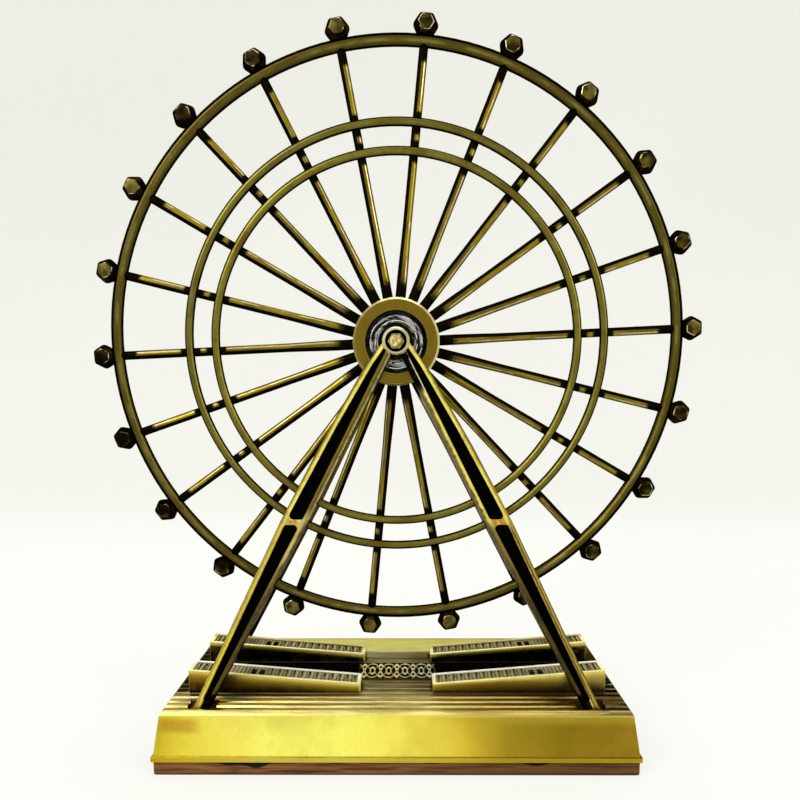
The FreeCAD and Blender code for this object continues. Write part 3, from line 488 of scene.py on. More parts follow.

# %% [markdown]
# The bearing has hardened steel rings and a pressed steel shield. Their shine comes and goes in
# arcs round the axle, a painted reflection, and the shield's rounded steps carry painted highlight
# rims.

# %% Finish: bearing steel
def steel_finish(name, light, dark, roughness=0.28, rims=()):
    """Steel with fine turned rings, a painted reflection in arcs, and painted highlight rims."""
    finish = metal(name, bump=0.04)
    around = use_group(COMPASS)
    rings = turned_rings(around.Distance, 3.5, 3)
    turn = place("CombineXYZ", {"X": work("COSINE", around.Turn), "Y": work("SINE", around.Turn),
        "Z": around.Distance * 0.55})
    arcs = noise(1.7, 2, read(turn))
    dirt = noise(1400, 3)
    # Painted reflection: the steel turns lighter and darker in arcs round the axle.
    share = between(arcs, 0.42, 0.6) * between(rings, 0.38, 0.6, 0.35, 1)
    colour = blend(share, dark, light)
    around_once = noise(1.6, 1, read(place("VectorMath", {0: read(turn), 1: (2.1, 2.1, 1.5)},
        operation="MULTIPLY")))
    colour = blend(between(dirt, 0.5, 0.75, 0, 0.5), colour, (22, 22, 18))
    # Painted highlights: bright rims at the given distances from the axle, here and there round
    # it.
    for low, high in rims:
        bright = band(around.Distance, low, high, 0.12) * between(around_once, 0.42, 0.45)
        colour = blend(bright, colour, (255, 255, 250))
    rough = dirt * 0.2 + (roughness - 0.1)
    return finish(SimpleNamespace(Color=colour, Roughness=rough, Height=rings))


keep(shield=steel_finish("shield_steel", (204, 202, 204), (22, 22, 20),
                         rims=((8.95, 9.5), (6.85, 7.35))),
     race=steel_finish("race_steel", (40, 40, 36), (8, 8, 6)),
     balls=steel_finish("ball_steel", (190, 190, 186), (120, 120, 116), 0.15),
     screws=steel_finish("screw_steel", (170, 168, 156), (92, 90, 82), 0.3))

# %% [markdown]
# Each A-frame is one casting. The cloth reached the raised ribs and never the panel between them,
# which stays black up to the boss. How deep a point lies behind the leaning front plane tells rib
# from panel. The ribs and the boss carry painted highlights, lit and shaded differently on the
# left and on the right.

# %% Finish: A-frames
FRAME_SLOPE, FRAME_FACE, FRAME_LEAN = 20.8 / 120.9, 11, 0.985
# The panel's straight edges, each a slope and a start: side = slope * below the axle + start.
PANEL_OUTER = ((0.5835, 3.3), (0.544, 4.44), (0.4725, 8.48))
PANEL_INNER = ((0.5018, 1.955), (0.528, 0.4))
OUTER_RIB, INNER_RIB = 2.15, 2.4


def frame_finish():
    """Rib colours from how far out a point lies on its rib: 0 at the panel, 1 at the edge."""
    finish = metal("frame_brass", bump=0.1)
    rule = use_group(RULER)
    below = AXLE_HEIGHT - rule.Z
    depth = (below * FRAME_SLOPE + FRAME_FACE - abs(rule.Y)) * FRAME_LEAN
    side = abs(rule.X)
    panel_out = least(*(below * slope + start for slope, start in PANEL_OUTER))
    panel_in = most(*(below * slope + start for slope, start in PANEL_INNER))
    on_outer = (side - panel_out) / OUTER_RIB
    on_inner = (panel_in - side) / INNER_RIB
    cloud = noise(70, 4)
    fine = noise(520, 3)
    wavy = fine * 0.5 - 0.25
    wide = on_outer + wavy
    slim = on_inner + wavy
    right = between(rule.X, -0.5, 0.5)
    low = between(below, 58, 63)
    # Colours across each rib, from the panel to the edge. Their bright bands are painted
    # highlights, and the legs on the left and on the right get lit and shaded versions of the same
    # brass.
    high_outer = colour_along(wide, -0.2, 1.2, ((-0.1, 226, 214, 96), (0.12, 253, 246, 130),
        (0.45, 248, 232, 108), (0.62, 196, 172, 62), (0.8, 140, 118, 42), (1.05, 92, 76, 28)))
    low_left = colour_along(wide, -0.2, 1.2, ((-0.1, 150, 128, 44), (0.2, 226, 206, 84),
        (0.45, 238, 220, 96), (0.6, 176, 152, 52), (0.8, 206, 186, 74), (1.05, 96, 78, 28)))
    low_right = colour_along(wide, -0.2, 1.2, ((-0.05, 214, 196, 104), (0.12, 206, 188, 98),
        (0.3, 112, 92, 32), (0.5, 124, 102, 36), (0.66, 204, 180, 84), (0.82, 128, 106, 38),
        (1.05, 60, 48, 16)))
    inner_high_left = colour_along(slim, -0.2, 1.6, ((-0.1, 120, 106, 46), (0.3, 132, 116, 50),
        (0.55, 84, 66, 26), (0.75, 140, 124, 62), (0.95, 206, 196, 130), (1.1, 96, 80, 34),
        (1.4, 62, 50, 18)))
    inner_high_right = colour_along(slim, -0.2, 1.6, ((-0.1, 240, 228, 110), (0.15, 253, 246, 128),
        (0.42, 246, 232, 110), (0.6, 158, 138, 58), (0.8, 104, 84, 40), (1, 150, 134, 84),
        (1.4, 74, 58, 26)))
    inner_low = colour_along(slim, -0.2, 1.6, ((-0.1, 120, 108, 50), (0.2, 176, 164, 88),
        (0.45, 138, 122, 56), (0.7, 92, 76, 28), (0.95, 108, 92, 42), (1.3, 34, 27, 10)))
    outer_rib = blend(low, high_outer, blend(right, low_left, low_right))
    inner_rib = blend(right, inner_high_left, inner_high_right)
    inner_low = painted(inner_low, (right * 0.6, (84, 70, 30)),
        (between(below, 68, 92, 0, 0.8), (40, 32, 14)))
    near_bridge = band(below, 59, 72, 4) * between(on_inner, 0.5, 0.8, 0.75, 0)
    near_bridge = near_bridge * between(right, 0, 1, 1, 0.2)
    inner_rib = painted(inner_rib, (low, inner_low), (near_bridge, (222, 206, 122)))
    brass = blend(between(on_outer, -0.9, -0.5), inner_rib, outer_rib)
    hatch = between(fine, 0.5, 0.62, 0, 0.55) * between(on_inner, 0.3, 0.7)
    warm = band(below, 50, 60, 6) * (right * between(on_outer, 0.3, 0.7))
    bridge = band(below, 58.4, 61.6, 0.8)
    bridge = bridge * (fading(on_outer, -0.15, 0.05) * fading(on_inner, -0.15, 0.05))
    gold = blend(between(fine + right * 0.12, 0.42, 0.66), (238, 218, 118), (196, 142, 44))
    back = between(depth, 0.5, 0.8)
    olive = blend(between(cloud, 0.4, 0.62), (118, 102, 44), (70, 56, 22))
    brass = painted(brass, (hatch, (40, 30, 12)), (warm * 0.45, (206, 140, 40)), (bridge, gold))
    olive = blend(low, olive, (36, 28, 12))
    from_axle = use_group(COMPASS).Distance
    boss = fading(from_axle, 4.6, 4.9)
    # Painted highlight: the boss ring is lighter towards its upper left.
    ring = colour_along(rule.Z + rule.X * -0.5, AXLE_HEIGHT - 6, AXLE_HEIGHT + 6,
        ((AXLE_HEIGHT - 5, 206, 194, 150), (AXLE_HEIGHT, 206, 192, 128),
        (AXLE_HEIGHT + 5, 250, 244, 214)))
    panel = fading(on_outer, 0.03, 0.12) * fading(on_inner, 0.03, 0.12)
    panel = panel * between(depth, 0.05, 0.2) * fading(boss, 0.4, 0.6)
    well = fading(from_axle, 3.55, 3.75)
    top_in = band(below, 3.5, 14, 6) * between(on_inner, -0.1, 0.2)
    top_in = top_in * between(boss, 0.4, 0.6, 0.8, 0) * between(right, 0, 1, 0.25, 1)
    # Painted highlight: a pale streak on the right leg's inner rib, below the boss.
    thread = band(on_inner, 0.1, 0.22, 0.06) * (right * band(below, 7, 18, 2))
    top_in = top_in * work("SUBTRACT", 1, thread, clamp=True)
    toe = fading(rule.Z, 24, 26) * fading(on_outer, -0.2, 0.1)
    sunk = most(panel, top_in, well, toe * 0.8)
    shine = most(between(on_outer, 0.45, 0.6), between(on_inner, 0.45, 0.6))
    shine = most(shine * 0.35, between(boss, 0.4, 0.6, 0, 0.7))
    shine = shine * work("SUBTRACT", 1, sunk, clamp=True)
    brass = painted(brass, (back * 0.85, olive), (boss, ring), (thread, (240, 236, 214)))
    return finish(Brass=brass, Stain=(124, 96, 34), Bare_Metal=(232, 226, 180), Black=(7, 6, 4),
        Unrubbed=sunk, Edge_Shine=shine, Mottle=0.3, Blotch_Size=150, Hollow_Depth=0.6)


def nut_finish():
    """Pale gold with darker patches, and black in the well round its edge."""
    finish = metal("nut_brass", bump=0.1, metallic=0.3)
    around = use_group(COMPASS)
    brass = blend(between(noise(620, 2), 0.45, 0.6), (250, 240, 170), (168, 146, 76))
    return finish(Brass=brass, Stain=(128, 106, 46), Edge_Shine=0.4, Mottle=0.4,
        Unrubbed=between(around.Distance, 2.62, 2.78), Blotch_Size=420, Hollow_Depth=0.1)


keep(frame=frame_finish(), nut=nut_finish())

# %% [markdown]
# The base is a hollow casting. Its broad front plate runs from bright yellow at one end to olive
# brown at the other, a painted reflection, with a painted highlight along its crest. The deck's
# grooves kept their black, the ridges between them shine, and its middle band carries painted
# shade.

# %% Finish: base casting
def base_finish():
    """Plate: a painted reflection from yellow to olive. Grooves dark, middle band painted shade.
    """
    finish = metal("base_brass", bump=0.08)
    rule = use_group(RULER)
    cloud = noise(38, 4)
    streaked = place("Mapping", {"Vector": object_place(), "Scale": (0.06, 1, 1)})
    streaks = noise(900, 3, read(streaked))
    # Painted reflection: the plate runs from bright yellow at the left end to olive brown at the
    # right.
    plate = colour_along(rule.X, -80, 80, ((-80, 205, 182, 40), (-70, 236, 215, 70),
        (-53, 250, 234, 99), (-43, 253, 248, 112), (-17, 255, 249, 112), (9, 248, 230, 86),
        (22, 220, 196, 60), (36, 162, 138, 32), (55, 142, 117, 24), (70, 132, 106, 25),
        (80, 146, 118, 26)))
    wander = cloud * 14 - 7
    blot = band(rule.X + wander, -77, -70, 6) * band(rule.Z + wander * 0.3, 14.8, 16.8, 2.6)
    rise = between(rule.Z, 15.5, 18.5, 0, 0.6) * between(rule.X, 10, 35)
    lip = fading(rule.Z, 6.2, 6.9)
    # Painted highlight: a pale line along the plate's crest.
    crest = between(rule.Z, 18.7, 19.5)
    # The deck is light at its front and back and darker in its middle band, a painted shade under
    # the wheel.
    deck = colour_along(rule.Y, -36, 36, ((-35, 224, 206, 128), (-26, 222, 206, 138),
        (-20.5, 160, 149, 110), (-9, 130, 123, 100), (9, 152, 145, 122), (18.5, 158, 150, 126),
        (20.5, 228, 220, 138), (36, 246, 238, 142)))
    right = between(rule.X, 30, 75)
    plate = painted(plate, (between(cloud, 0.5, 0.7, 0, 0.3), (196, 156, 44)),
        (blot * 0.6, (182, 126, 24)), (rise, (186, 162, 50)), (lip * 0.65, (178, 150, 10)),
        (crest * 0.35, (240, 230, 130)))
    middle = band(rule.Y, -20, 17, 3)
    front = fading(rule.Y, -20, -18)
    gold = front * between(rule.X, 6, 28, 0, 0.75)
    dull = front * band(rule.X, -60, -30, 14)
    dusk = middle * between(rule.X, 1, 9, 0, 0.55)
    shadowy = between(streaks, 0.42, 0.62, 0, 0.6) * between(rule.Y, 18, 21, 1, 0.25)
    # Painted glints: thin light streaks on the dark corners of the deck.
    corner = most(between(rule.X, 64, 70) * between(rule.Y, -8, -2, 1, 0.5),
        fading(rule.X, -74.5, -71.5) * between(rule.Y, -22, -18))
    contrast = blend(between(streaks, 0.58, 0.64), (28, 23, 12), (128, 120, 92))
    on_deck = between(rule.Z, 18.6, 19.4)
    inside = fading(abs(rule.Y), 35.25, 35.5)
    up = most(between(rule.Up, 0.6, 0.85), on_deck * inside)
    deck = painted(deck, (right * 0.5, (88, 72, 34)), (gold, (142, 116, 52)),
        (dull * 0.15, (112, 98, 60)), (dusk, (78, 70, 74)), (shadowy, (112, 92, 40)),
        (corner * 0.85, contrast))
    brass = blend(up, plate, deck)
    groove = fading(rule.Z, 20, 20.3)
    sunk = groove * on_deck * inside * most(between(rule.X, -10, 55, 0.1, 0.6), middle)
    # Painted shade: faces that look down turn black.
    under = between(rule.Up, -0.9, -0.6, 0.7, 0)
    step = band(rule.Z, 6.3, 6.6, 0.25)
    sunk = most(sunk, under, step * 0.35)
    brass = blend(between(abs(rule.Side), 0.5, 0.8), brass, (136, 114, 40))
    # Less edge shine on the front, and less in the shaded middle band.
    return finish(Brass=brass, Stain=(120, 94, 30), Bare_Metal=(240, 234, 180),
        Black=blend(front, (14, 11, 4), (112, 92, 46)), Unrubbed=sunk,
        Edge_Shine=front * -0.36 + (middle * -0.45 + 0.5), Mottle=0.12, Blotch_Size=90,
        Hollow_Depth=front * -0.55 + 0.85)


keep(base=base_finish())

# %% [markdown]
# The boarding platforms are low wedges. Their lips are pale, the rear ones near white as a
# painted highlight, their trays between the lips are grey with lighter and darker ribs, and their
# faces fade from gold above to a dark olive near the deck, a painted shade.

# %% Finish: platforms
WEDGE_START, WEDGE_SLOPE, WEDGE_LOW = 12.6, 5 / 59.9, 3.2
FRONT_ROW, REAR_ROW, SLAT_PITCH = -15.1, 13.3, 1.35


def platform_finish():
    """Pale lips with painted highlights, a grey tray, faces with painted shade towards the deck.
    """
    finish = metal("platform_brass", bump=0.1)
    rule = use_group(RULER)
    along = abs(rule.X) - WEDGE_START
    down = along * WEDGE_SLOPE + (DECK_TOP + WEDGE_LOW) - rule.Z
    # Painted shade: the faces fade from gold at the lip to dark olive towards the deck.
    face = colour_along(down, 0, 7, ((0, 250, 234, 134), (0.7, 232, 210, 96), (1.5, 182, 156, 56),
        (2.6, 140, 116, 38), (4.6, 88, 68, 22), (7, 34, 26, 10)))
    rear = between(rule.Y, 6, 8)
    low = fading(rule.Z, DECK_TOP, DECK_TOP + 3.4) * between(along, 6, 26)
    inner_end = fading(along, 0.3, 0.8)
    across = rule.Y - between(rule.Y, -1, 1, FRONT_ROW, REAR_ROW)
    # Pale lips; the rear ones near white, a painted highlight.
    lip = blend(between(across, 0, 2), (255, 250, 168),
                blend(rear, (255, 255, 236), (214, 200, 112)))
    up = between(rule.Up, 0.6, 0.85)
    # Faces on the left are darker and on the right lighter. Painted shade lies near the deck and
    # on the rear platforms' lower faces, and a painted highlight on the inner ends.
    face = painted(face, (between(rule.X, -5, 5, 0.25, 0), (44, 34, 10)),
        (between(rule.X, -5, 5, 0, 0.22), (224, 204, 108)), (low * 0.7, (30, 22, 8)),
        (rear * between(down, 1, 2), (10, 7, 3)), (inner_end, (222, 204, 120)))
    brass = blend(up, face, lip)
    # Painted shadow: a dark band at the foot of the rear lip's inner wall, over the tray.
    wall = between(across, 2.4, 3) * fading(rule.Back, -0.8, -0.5)
    tray = up * between(down, 0.25, 0.5)
    # The tray is grey with lighter and darker ribs.
    uneven = noise(700, 3)
    ribs = work("SINE", along * (2 * math.pi / SLAT_PITCH) + uneven * 3) + (uneven * 4 - 2)
    grey_ribs = blend(between(ribs, -0.6, 0.7), (112, 102, 70), (190, 180, 144))
    rubbed_lip = most(up * fading(down, 0.25, 0.5), between(down, 0.3, 0.9, 0.6, 0))
    deep = between(down, 1.25, 1.5) * up
    brass = painted(brass, (wall, lip), (wall * between(down, 0.34, 0.46), (14, 10, 4)),
        (tray, grey_ribs))
    return finish(Brass=brass, Stain=(150, 130, 66), Bare_Metal=(255, 250, 200),
        Unrubbed=most(tray * 0.08, deep), Edge_Shine=0.75, Mottle=0.2, Blotch_Size=180,
        Hollow_Depth=0.5, metallic=rubbed_lip * -0.8 + 1)


keep(platform=platform_finish())

# %% [markdown]
# The board under the casting is a thin slip of reddish wood. Its grain runs along its length, it
# is darker along its lower corner and towards the right, and a painted shadow lies along its top
# edge under the casting and in its chips.

# %% Finish: board
def board_finish():
    """Reddish wood streaked along x, darker low and right, painted shadow at its top and chips."""
    material, shader = principled("board_wood")
    rule = use_group(RULER)
    drawn = place("Mapping", {"Vector": object_place(), "Scale": (0.05, 1, 1)})
    fibre = noise(1300, 5, read(drawn), Distortion=0.6)
    wide = noise(55, 3)
    colour = blend(between(fibre, 0.35, 0.68), (132, 84, 40), (70, 42, 18))
    # Darker towards the right and along the lower corner.
    right = between(rule.X, -30, 60, 0, 0.6)
    low = between(rule.Z, 0.1, 0.9, 0.85, 0)
    # Painted shadow: black along the top edge under the casting's lip and in the chips.
    sunk = between(rule.Up, 0.1, 0.3) * between(rule.Z, 1, 1.6)
    high = most(between(rule.Z, 4.2, 4.75, 0, 0.8), sunk)
    colour = painted(colour, (between(wide, 0.5, 0.7, 0, 0.6), (104, 76, 38)),
        (right, (70, 46, 18)), (low, (34, 22, 12)), (high, (12, 8, 4)))
    raised = place("Bump", {"Strength": 0.25, "Distance": 0.2 * MM, "Height": fibre})
    plug_in(shader, {"Base Color": colour, "Roughness": between(fibre, 0.2, 0.8, 0.62, 0.85),
                     "Specular IOR Level": 0.2, "Normal": read(raised)})
    return material


keep(board=board_finish())

# %% [markdown]
# A piece worked out with numpy is a sheet of points: two parameters run over a grid, and a formula
# gives each grid point its place. One helper makes any such sheet into a mesh.

# %% Helpers for pieces
def box_of(node_name):
    """The two corners of a CAD piece's box in millimetres."""
    return [np.array(corner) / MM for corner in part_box(node_name)]


def give(piece, finish):
    """Gives a piece one finish in every slot of its own."""
    if not piece.material_slots:
        piece.data.materials.append(finish)
    for each in piece.material_slots:
        each.material = finish


def set_down(name, mesh, finish, body, smooth=True):
    """Puts a mesh into the scene as one piece with one finish, riding on a body."""
    mesh.polygons.foreach_set("use_smooth", np.full(len(mesh.polygons), smooth))
    piece = bpy.data.objects.new(name, mesh)
    bpy.context.scene.collection.objects.link(piece)
    give(piece, finish)
    if body:
        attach(piece, body)
    print(name, "has", len(mesh.vertices), "points and", len(mesh.polygons), "faces")
    return piece


def sheet_faces(rows, columns, round_rows=False, round_columns=False):
    """The four corners of each cell of a grid of points. A round way joins its ends."""
    down = np.arange(rows if round_rows else rows - 1)
    across = np.arange(columns if round_columns else columns - 1)
    r, c = np.meshgrid(down, across, indexing="ij")
    r2, c2 = (r + 1) % rows, (c + 1) % columns
    return np.stack([r * columns + c, r * columns + c2, r2 * columns + c2, r2 * columns + c],
                    -1).reshape(-1, 4)


def make_piece(name, points, faces, finish, body, slot_name):
    """A mesh of four-cornered faces from arrays of points in millimetres."""
    mesh = bpy.data.meshes.new(name)
    points = np.ascontiguousarray(points, np.float64).reshape(-1, 3) * MM
    mesh.vertices.add(len(points))
    mesh.vertices.foreach_set("co", points.ravel())
    mesh.loops.add(faces.size)
    mesh.loops.foreach_set("vertex_index", faces.ravel().astype(np.int32))
    mesh.polygons.add(len(faces))
    mesh.polygons.foreach_set("loop_start", np.arange(0, faces.size, 4, dtype=np.int32))
    mesh.update(calc_edges=True)
    mesh.validate()
    return set_down(name, mesh, finish, body)


def close_up(piece):
    """Points that lie in one place are joined, holes are filled, and all faces turned outwards."""
    shell = bmesh.new()
    shell.from_mesh(piece.data)
    bmesh.ops.remove_doubles(shell, verts=shell.verts, dist=0.001 * MM)
    bmesh.ops.holes_fill(shell, edges=[e for e in shell.edges if e.is_boundary], sides=0)
    bmesh.ops.recalc_face_normals(shell, faces=shell.faces)
    shell.to_mesh(piece.data)
    shell.free()
    return piece


def merged_copy(node_name):
    """A copy of a CAD mesh and its open shell: points joined, flat parts made whole."""
    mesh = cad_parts[node_name].data.copy()
    mesh.materials.clear()
    shell = bmesh.new()
    shell.from_mesh(mesh)
    bmesh.ops.remove_doubles(shell, verts=shell.verts, dist=0.002 * MM)
    bmesh.ops.dissolve_limit(shell, angle_limit=math.radians(0.6), verts=shell.verts,
                             edges=shell.edges)
    return mesh, shell


print("piece helpers ready")

# %% [markdown]
# The pierced strip between the platforms is a height map: rows of oval rings, the outer rows half
# a step aside, with arches between them. The highest ring at each point wins, so the ovals seem to
# lie over each other.

# %% Piece: lattice strip
OVAL_PITCH = 6.1
# Each row of ovals: its height, where it starts, how far it lies from the middle line, the ovals'
# half width and half height, and the width of their wire.
OVAL_ROWS = ((1.0, 2.9, 0.0, 0.85, 3.1, 0.3), (1.0, 5.95, 3.7, 0.75, 2.3, 0.28),
             (1.0, 5.95, -3.7, 0.75, 2.3, 0.28), (0.72, 2.9, 0.0, 2.75, 6.4, 0.24),
             (0.66, 5.95, 0.0, 2.1, 4.6, 0.2))
OVAL_RELIEF, BORDER_WIDTH = 0.42, 0.35


def oval_ring(x, y, shift, centre, half_width, half_height, wire):
    """The height of a row of oval rings: highest where the oval's equation comes to one."""
    nearest = (x - shift + OVAL_PITCH / 2) % OVAL_PITCH - OVAL_PITCH / 2
    reach = np.hypot(nearest / half_width, (y - centre) / half_height)
    return np.clip(1.0 - np.abs(reach - 1.0) * half_width / wire, 0.0, 1.0)


def lattice_strip():
    """Height over x and y: a low thin border, and inside it the highest of the ovals."""
    low, high = box_of("lattice_strip")
    gx, gy = np.meshgrid(np.linspace(low[0], high[0], 561), np.linspace(low[1], high[1], 62),
                         indexing="ij")
    middle = (low[1] + high[1]) / 2
    relief = np.max([height * oval_ring(gx, gy, shift, middle + aside, *size)
                     for height, shift, aside, *size in OVAL_ROWS], axis=0)
    relief = relief * (2 - relief)
    to_edge = np.minimum(np.minimum(gx - low[0], high[0] - gx), np.minimum(gy - low[1],
                                                                           high[1] - gy))
    border = 0.5 * np.clip((BORDER_WIDTH - to_edge) / 0.2, 0.0, 1.0)
    top = high[2] - OVAL_RELIEF * (1.0 - np.maximum(relief, border))
    top[0], top[-1], top[:, 0], top[:, -1] = (low[2],) * 4
    gx[1], gx[-2], gy[:, 1], gy[:, -2] = gx[0], gx[-1], gy[:, 0], gy[:, -1]
    top[1, 1:-1], top[-2, 1:-1], top[1:-1, 1], top[1:-1, -2] = (high[2] - OVAL_RELIEF / 2,) * 4
    return np.stack([gx, gy, top], -1), sheet_faces(*gx.shape)[:, ::-1]


def lattice_finish():
    """Gold crests, brown black ground read from the height, painted shade under the platforms."""
    finish = metal("lattice_brass", bump=0.08)
    rule = use_group(RULER)
    ground = fading(rule.Z, 20.66, 20.9)
    # Painted shade: the strip turns black where it runs on under the platforms.
    hidden = between(abs(rule.X), 12.8, 15, 0, 0.95)
    right = between(rule.X, -2, 12)
    brass = blend(right, (240, 228, 170), (206, 204, 176))
    return finish(Brass=brass, Stain=(150, 130, 70), Black=blend(hidden, (42, 34, 14), (12, 9, 4)),
        Unrubbed=most(ground, hidden), Edge_Shine=0, Mottle=0.5, Blotch_Size=240,
        Hollow_Depth=0.25)


lattice = make_piece("lattice_ovals", *lattice_strip(), lattice_finish(), "stand", "cast_brass")
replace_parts(close_up(lattice), "lattice_strip")

# %% [markdown]
# The shield of the bearing is a flat ring between two rounded steps. It is a profile turned round
# the axle, so one list of radius and depth pairs is all it takes.

# %% Piece: bearing shields
def turned(profile, steps):
    """A closed profile of (radius, y) pairs carried round the axle: x = r cos t, z = r sin t."""
    t = np.linspace(0.0, 2 * math.pi, steps, endpoint=False)[:, None]
    radius, depth = np.array(profile).T
    return np.stack([radius * np.cos(t), depth + 0 * t, AXLE_HEIGHT + radius * np.sin(t)], -1)


def towards(corners, shift, reach):
    """Points a short way from each corner towards the one before it (1) or after it (-1)."""
    arm = np.roll(corners, shift, 0) - corners
    length = np.linalg.norm(arm, axis=1, keepdims=True)
    return corners + arm / length * np.minimum(reach, length * 0.45)


def rounded_profile(corners, reach, steps=4):
    """Each corner c is cut by a curve from a to b: (1-s)^2 a + 2s(1-s) c + s^2 b."""
    corners = np.array(corners, float)
    s = np.linspace(0.0, 1.0, steps + 1)[None, :, None]
    curve = (1 - s) ** 2 * towards(corners, 1, reach)[:, None]
    curve = curve + 2 * s * (1 - s) * corners[:, None]
    return (curve + s ** 2 * towards(corners, -1, reach)[:, None]).reshape(-1, 2)


def shield(side, sign):
    """The shield's outline turned round the axle, at the front with its y turned to -y."""
    outline = [(6.18, 2.75), (7.0, 2.75), (7.3, 3.02), (9.0, 3.02), (9.25, 2.7), (9.56, 2.7),
               (9.56, 2.95), (9.4, 2.95), (9.12, 3.24), (7.15, 3.24), (6.85, 2.98), (6.18, 2.98)]
    points = turned([(r, sign * y) for r, y in rounded_profile(outline, 0.12)], 128)
    faces = sheet_faces(*points.shape[:2], True, True)
    piece = make_piece(side + "_shield_pressing", points, faces, FINISHES["shield"], "wheel",
                       "bearing_steel")
    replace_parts(close_up(piece), side + "_bearing_shield")


shield("front", -1.0)
shield("rear", 1.0)

# %% [markdown]
# A casting has no sharp corner. A copy of the CAD mesh is merged and given a small Bevel, so real
# light lines run along its edges.

# %% Pieces: castings with rounded edges
def rounded_casting(node_name, name, finish, width):
    """A merged copy of a CAD piece of the stand, every sharp edge rounded by a Bevel."""
    mesh, shell = merged_copy(node_name)
    shell.to_mesh(mesh)
    shell.free()
    piece = set_down(name, mesh, finish, "stand")
    set_up(piece.modifiers.new("rounding", "BEVEL"), width=width * MM, segments=2,
           limit_method="ANGLE", angle_limit=math.radians(28), harden_normals=True,
           use_clamp_overlap=True)
    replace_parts(piece, node_name)


rounded_casting("base_casting", "base_rounded", FINISHES["base"], 0.22)
for corner in ("front_left", "front_right", "rear_left", "rear_right"):
    rounded_casting("platform_" + corner, "boarding_" + corner, FINISHES["platform"], 0.1)

# %% [markdown]
# A capsule is a six-sided gem with a flat facet at its front and back. The outline is the six
# flats joined by a power mean: the higher the power, the sharper the corners. Each row of the
# surface is that outline at one depth, so the facets taper to the ends.

# %% Pieces: capsules
CABIN_REACH, CABIN_WIDTH, CABIN_DEPTH = 6.4, 7.5, 6.8
CABIN_FACET, CABIN_BELT = 4.4, 1.4


def gem_outline(turns, power):
    """Radius for each turn: the power mean of six flats at distance one, corners rounded."""
    flats = np.maximum(np.cos(turns[:, None] - np.arange(6) * math.pi / 3), 0.0)
    return (flats ** power).sum(1) ** (-1.0 / power)


def gem(centre, direction):
    """Rows of the outline from the back facet to the front one, turned to a direction."""
    turns = np.linspace(0.0, 2 * math.pi, 72, endpoint=False)
    outline = gem_outline(turns, 16.0)
    facet, flat, half, belt = CABIN_FACET / 2, CABIN_WIDTH / 2, CABIN_DEPTH / 2, CABIN_BELT / 2
    rows = np.array([(0.0, half), (facet - 0.25, half), (facet + 0.1, half - 0.06),
                     (facet + 0.32, half - 0.3), (flat - 0.28, belt + 0.42),
                     (flat - 0.05, belt + 0.12), (flat, belt / 2)])
    reach = np.concatenate([rows[:, 0], rows[::-1, 0]])
    y = np.concatenate([-rows[:, 1], rows[::-1, 1]])
    radius = reach[:, None] * outline[None, :]
    along, aside = radius * np.cos(turns), radius * np.sin(turns)
    x = centre[0] + along * math.cos(direction) - aside * math.sin(direction)
    z = centre[1] + along * math.sin(direction) + aside * math.cos(direction)
    return np.stack([x, np.broadcast_to(y[:, None], x.shape), z], -1)


for number in range(1, SPOKES + 1):
    node_name = f"capsule_{number:02d}"
    middle = sum(box_of(node_name)) / 2
    step = 360 / SPOKES
    degrees = math.degrees(math.atan2(middle[2] - AXLE_HEIGHT, middle[0]))
    direction = math.radians(FIRST_SPOKE + step * round((degrees - FIRST_SPOKE) / step))
    reach = RIM_RADIUS + CABIN_REACH - CABIN_WIDTH / 2
    centre = (reach * math.cos(direction), AXLE_HEIGHT + reach * math.sin(direction))
    points = gem(centre, direction)
    cabin = make_piece(f"cabin_{number:02d}", points, sheet_faces(*points.shape[:2], False, True),
                       FINISHES["capsule"], "wheel", "capsule_brass")
    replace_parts(close_up(cabin), node_name)

# %% [markdown]
# The spokes are drawn wires, a little wider where they were pressed into the hub. Each one is a
# grid of points, stations along the spoke with an oval round each, and one formula makes all 22 at
# once.

# %% Piece: spokes
SPOKE_WIRE, SPOKE_START, SPOKE_END, SPOKE_SWELL = 3.0, 12.1, 97.2, 0.2


def spoke_sheets():
    """Ovals carried outwards: half depth wire / 2, half width that times 1 + swell * ease(r)."""
    reach = np.linspace(SPOKE_START, SPOKE_END, 30)
    reach = np.concatenate([reach[:1], reach, reach[-1:]])
    ease = np.clip((40.0 - reach) / 20.0, 0.0, 1.0)
    ease = ease ** 2 * (3 - 2 * ease)
    half = np.full(len(reach), SPOKE_WIRE / 2)
    half[[0, -1]] = 0.0
    round_it = np.linspace(0.0, 2 * math.pi, 20, endpoint=False)
    turn = np.radians(FIRST_SPOKE + 360 / SPOKES * np.arange(SPOKES))[:, None, None]
    aside = (half * (1 + SPOKE_SWELL * ease))[None, :, None] * np.cos(round_it)
    y = half[None, :, None] * np.sin(round_it) + 0 * turn
    x = reach[None, :, None] * np.cos(turn) - aside * np.sin(turn)
    z = AXLE_HEIGHT + reach[None, :, None] * np.sin(turn) + aside * np.cos(turn)
    return np.stack([x, y, z], -1)


points = spoke_sheets()
one = sheet_faces(*points.shape[1:3], False, True)
starts = np.arange(SPOKES)[:, None, None] * points.shape[1] * points.shape[2]
drawn = make_piece("drawn_spokes", points, (one + starts).reshape(-1, 4), FINISHES["spokes"],
                   "wheel", "wire_brass")
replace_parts(close_up(drawn), "spokes")

# %% [markdown]
# The board's top edge is chipped. A copy of the board is cut crosswise every millimetre, and the
# points on its top edge sink by a chip depth: a few smooth dips along the front and the back, and
# a slight wander everywhere.

